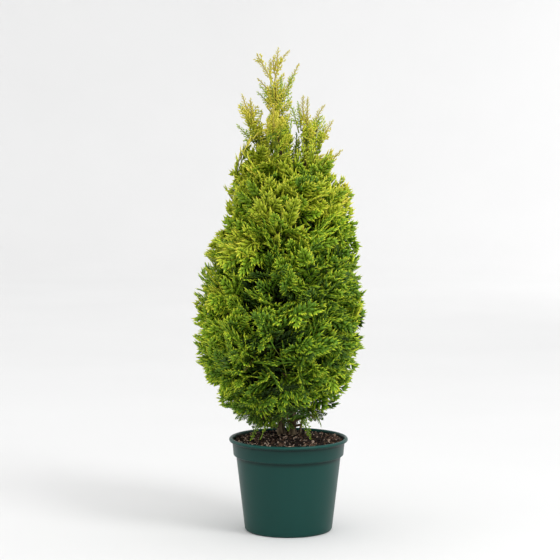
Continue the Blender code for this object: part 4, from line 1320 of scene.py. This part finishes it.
shoot_axes = {"gold": Heap(), "lime": Heap(), "leaf": Heap()}
dice = random.Random(f"{SEED} free shoots")
for root, bend, tip, shade in FREE_SHOOTS:
    path = grow_limb(shoot_axes[shade], root, bend, tip, SHOOT_STEPS, SHOOT_RADII, SHOOT_SIDES)
    length = float(np.linalg.norm(np.diff(path, axis=0), axis=1).sum())
    count = max(2, round(length / SPRIG_GAP))
    face = Vector((dice.gauss(0.0, SHOOT_TURN), -1.0, dice.gauss(0.0, SHOOT_TILT))).normalized()
    for number in range(count):
        share = SPRIG_FIRST + SPRIG_SPAN * number / count
        place = share * SHOOT_STEPS
        low = min(int(place), SHOOT_STEPS - 1)
        spot = Vector(path[low]).lerp(Vector(path[low + 1]), place - low)
        way = Vector(path[low + 1] - path[low]).normalized()
        normal = squared(face, way)
        lean = math.radians(dice.uniform(*SPRIG_LEANS)) * (1 if number % 2 else -1)
        sprig_way = Matrix.Rotation(lean, 3, normal) @ way
        reach = SPRIG_LENGTH * (SPRIG_TAPER[0] - SPRIG_TAPER[1] * share) * dice.uniform(*SPRIG_RANGE)
        lay("sprig", dice.randrange(SPRIG_VARIANTS), spot, sprig_way, normal, reach, shade)
    way = Vector(path[-1] - path[-2])
    lay("sprig", dice.randrange(SPRIG_VARIANTS), Vector(path[-2]), way, face, END_SPRIG, shade)

# The joined leaf pieces. All sprays of one shade make a body piece and a tips piece,
# and run on into a further piece where one would hold too many triangles.
PIECE_LIMIT = 190000
BATCH = 40
LEAF_GLOSS = 2.6
LEAF_GLOSS_MOST = 0.32
LEAF_MOTTLE = 0.18
AXIS_COLOURS = {
    "gold": (0.440, 0.360, 0.085),
    "lime": (0.300, 0.330, 0.050),
    "leaf": (0.110, 0.170, 0.020),
}
TWIG_COLOURS = {
    "brown": ((0.050, 0.032, 0.014, 1), (0.140, 0.100, 0.040, 1)),
    "green": ((0.100, 0.150, 0.018, 1), (0.240, 0.290, 0.035, 1)),
}
foliage_nodes = [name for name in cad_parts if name.startswith("foliage_")]


def leaf_finish(name, colour):
    """Waxy scale leaves: one base colour with a slight mottle, duller where it is dark."""
    gloss = min(LEAF_GLOSS_MOST, LEAF_GLOSS * colour[1])
    darker = (*((1 - LEAF_MOTTLE) * value for value in colour), 1.0)
    lighter = (*((1 + LEAF_MOTTLE) * value for value in colour), 1.0)
    waxy = {"Roughness": 0.52, "Specular_IOR_Level": gloss}
    return mottled(name, (darker, lighter), scale=55.0, detail=2.0, **waxy)


def joined(name, shade, part, finish):
    """The body or the tips of every spray of a shade, in as few pieces as fit."""
    heaps = [Heap()]
    triangles = 0
    for (own_shade, kind, variant), rows in laid.items():
        if own_shade != shade:
            continue
        arrays = getattr(SPRAY_KINDS[kind][variant], part)
        if arrays is None:
            continue
        points, faces = arrays
        rows = np.array(rows)
        axes = rows[:, :9].reshape(-1, 3, 3)
        placed = np.einsum("pk,nkj->npj", points, axes) + rows[:, None, 9:]
        for start in range(0, len(rows), BATCH):
            batch = placed[start : start + BATCH]
            count = len(batch) * len(faces)
            if triangles + count > PIECE_LIMIT:
                heaps.append(Heap())
                triangles = 0
            triangles += count
            steps = np.arange(len(batch))[:, None, None] * len(points)
            heaps[-1].add(batch.reshape(-1, 3), (faces[None] + steps).reshape(-1, 3))
    for number, heap in enumerate(heaps):
        if heap.size:
            piece = heap.piece(f"{name}_{number + 1}", True)
            keep(piece, finish, "foliage", *foliage_nodes)


for shade, (body_colour, tip_colour) in LEAF_SHADES.items():
    joined(f"sprays_{shade}", shade, "body", leaf_finish(f"{shade}_scales", body_colour))
    joined(f"tips_{shade}", shade, "tips", leaf_finish(f"{shade}_new_growth", tip_colour))
for shade, heap in shoot_axes.items():
    axis_finish = leaf_finish(f"{shade}_shoot", AXIS_COLOURS[shade])
    keep(heap.piece(f"shoots_{shade}", True), axis_finish, "foliage", *foliage_nodes)
for name, heap in twigs.items():
    dull = {"Roughness": 0.8, "Specular_IOR_Level": 0.25}
    twig_finish = mottled(f"{name}_twig", TWIG_COLOURS[name], scale=60.0, detail=3.0, **dull)
    keep(heap.piece(f"twigs_{name}", True), twig_finish, "foliage", *foliage_nodes)

# The studio. A pale sweep: a floor that curves up into a low round wall, open above to
# an even white sky. One large soft lamp hangs high on the right, and a smaller one
# behind the plant washes the wall.
SWEEP_SIDES = 96
SWEEP_RADIUS = 7.0
SWEEP_CURVE = 2.2
SWEEP_WALL = 4.5
SWEEP_COLOURS = ((0.80, 0.80, 0.80, 1), (0.84, 0.84, 0.84, 1))
SKY_COLOUR = (1.0, 1.0, 1.0, 1.0)
SKY_STRENGTH = 1.070
# Each lamp: where it hangs, where it points, its width and its power.
LAMPS = {
    "soft_key": ((2.6, -2.4, 4.2), (0.0, 0.0, 0.55), 1.8, 94.0),
    "wall_wash": ((3.2, 5.5, 2.6), (2.4, 9.0, 0.7), 1.2, 30.0),
}
CAMERA_PLACE = (-0.020, -4.5, 0.991)
CAMERA_DOWN = 5.07
CAMERA_LENS = 124.0
CAMERA_SENSOR = 36.0
bpy.ops.object.select_all(action="DESELECT")
bpy.ops.mesh.primitive_circle_add(vertices=SWEEP_SIDES, radius=SWEEP_RADIUS, fill_type="NGON")
sweep = bpy.context.object
sweep.name = "studio_sweep"
edit_all(sweep)
last_radius, last_height = SWEEP_RADIUS, 0.0
sweep_outline = arc(SWEEP_RADIUS, SWEEP_CURVE, SWEEP_CURVE, SWEEP_CURVE, -90.0, 0.0, 14)[1:]
sweep_outline.append((SWEEP_RADIUS + SWEEP_CURVE, SWEEP_WALL))
bpy.ops.mesh.select_mode(type="EDGE")
bpy.ops.mesh.select_all(action="SELECT")
bpy.ops.mesh.region_to_loop()
for radius, height in sweep_outline:
    bpy.ops.mesh.extrude_edges_move(TRANSFORM_OT_translate={"value": (0, 0, height - last_height)})
    grow = radius / last_radius
    bpy.ops.transform.resize(value=(grow, grow, 1.0), center_override=(0.0, 0.0, height))
    last_radius, last_height = radius, height
bpy.ops.mesh.select_mode(type="VERT")
bpy.ops.object.mode_set(mode="OBJECT")
bpy.ops.object.shade_smooth()
matt = {"Roughness": 0.9, "Specular_IOR_Level": 0.1}
paper = mottled("pale_paper", SWEEP_COLOURS, scale=1.4, detail=2.0, **matt)
sweep.data.materials.append(paper.material)
sweep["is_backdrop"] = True

world = bpy.data.worlds.new("white_sky")
world.use_nodes = True
sky = world.node_tree.nodes["Background"]
sky.inputs["Color"].default_value = SKY_COLOUR
sky.inputs["Strength"].default_value = SKY_STRENGTH
bpy.context.scene.world = world


def hung(name, data, place):
    """A lamp or the camera, put in its place in the studio."""
    made = bpy.data.objects.new(name, data)
    made.location = place
    bpy.context.scene.collection.objects.link(made)
    return made


for name, (place, aim, size, power) in LAMPS.items():
    lamp_data = bpy.data.lights.new(name, "AREA")
    lamp_data.shape = "DISK"
    lamp_data.size = size
    lamp_data.energy = power
    lamp = hung(name, lamp_data, place)
    lamp.rotation_euler = (Vector(aim) - Vector(place)).to_track_quat("-Z", "Y").to_euler()
camera_data = bpy.data.cameras.new("camera")
camera_data.sensor_width = CAMERA_SENSOR
camera_data.lens = CAMERA_LENS
camera = hung("camera", camera_data, CAMERA_PLACE)
camera.rotation_euler = (math.radians(90.0 - CAMERA_DOWN), 0.0, 0.0)
bpy.context.scene.camera = camera
bpy.context.scene.view_settings.view_transform = "Standard"

sizes = {
    "cad": [list(corner) for corner in cad_box],
    "visual": [list(corner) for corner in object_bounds()],
}
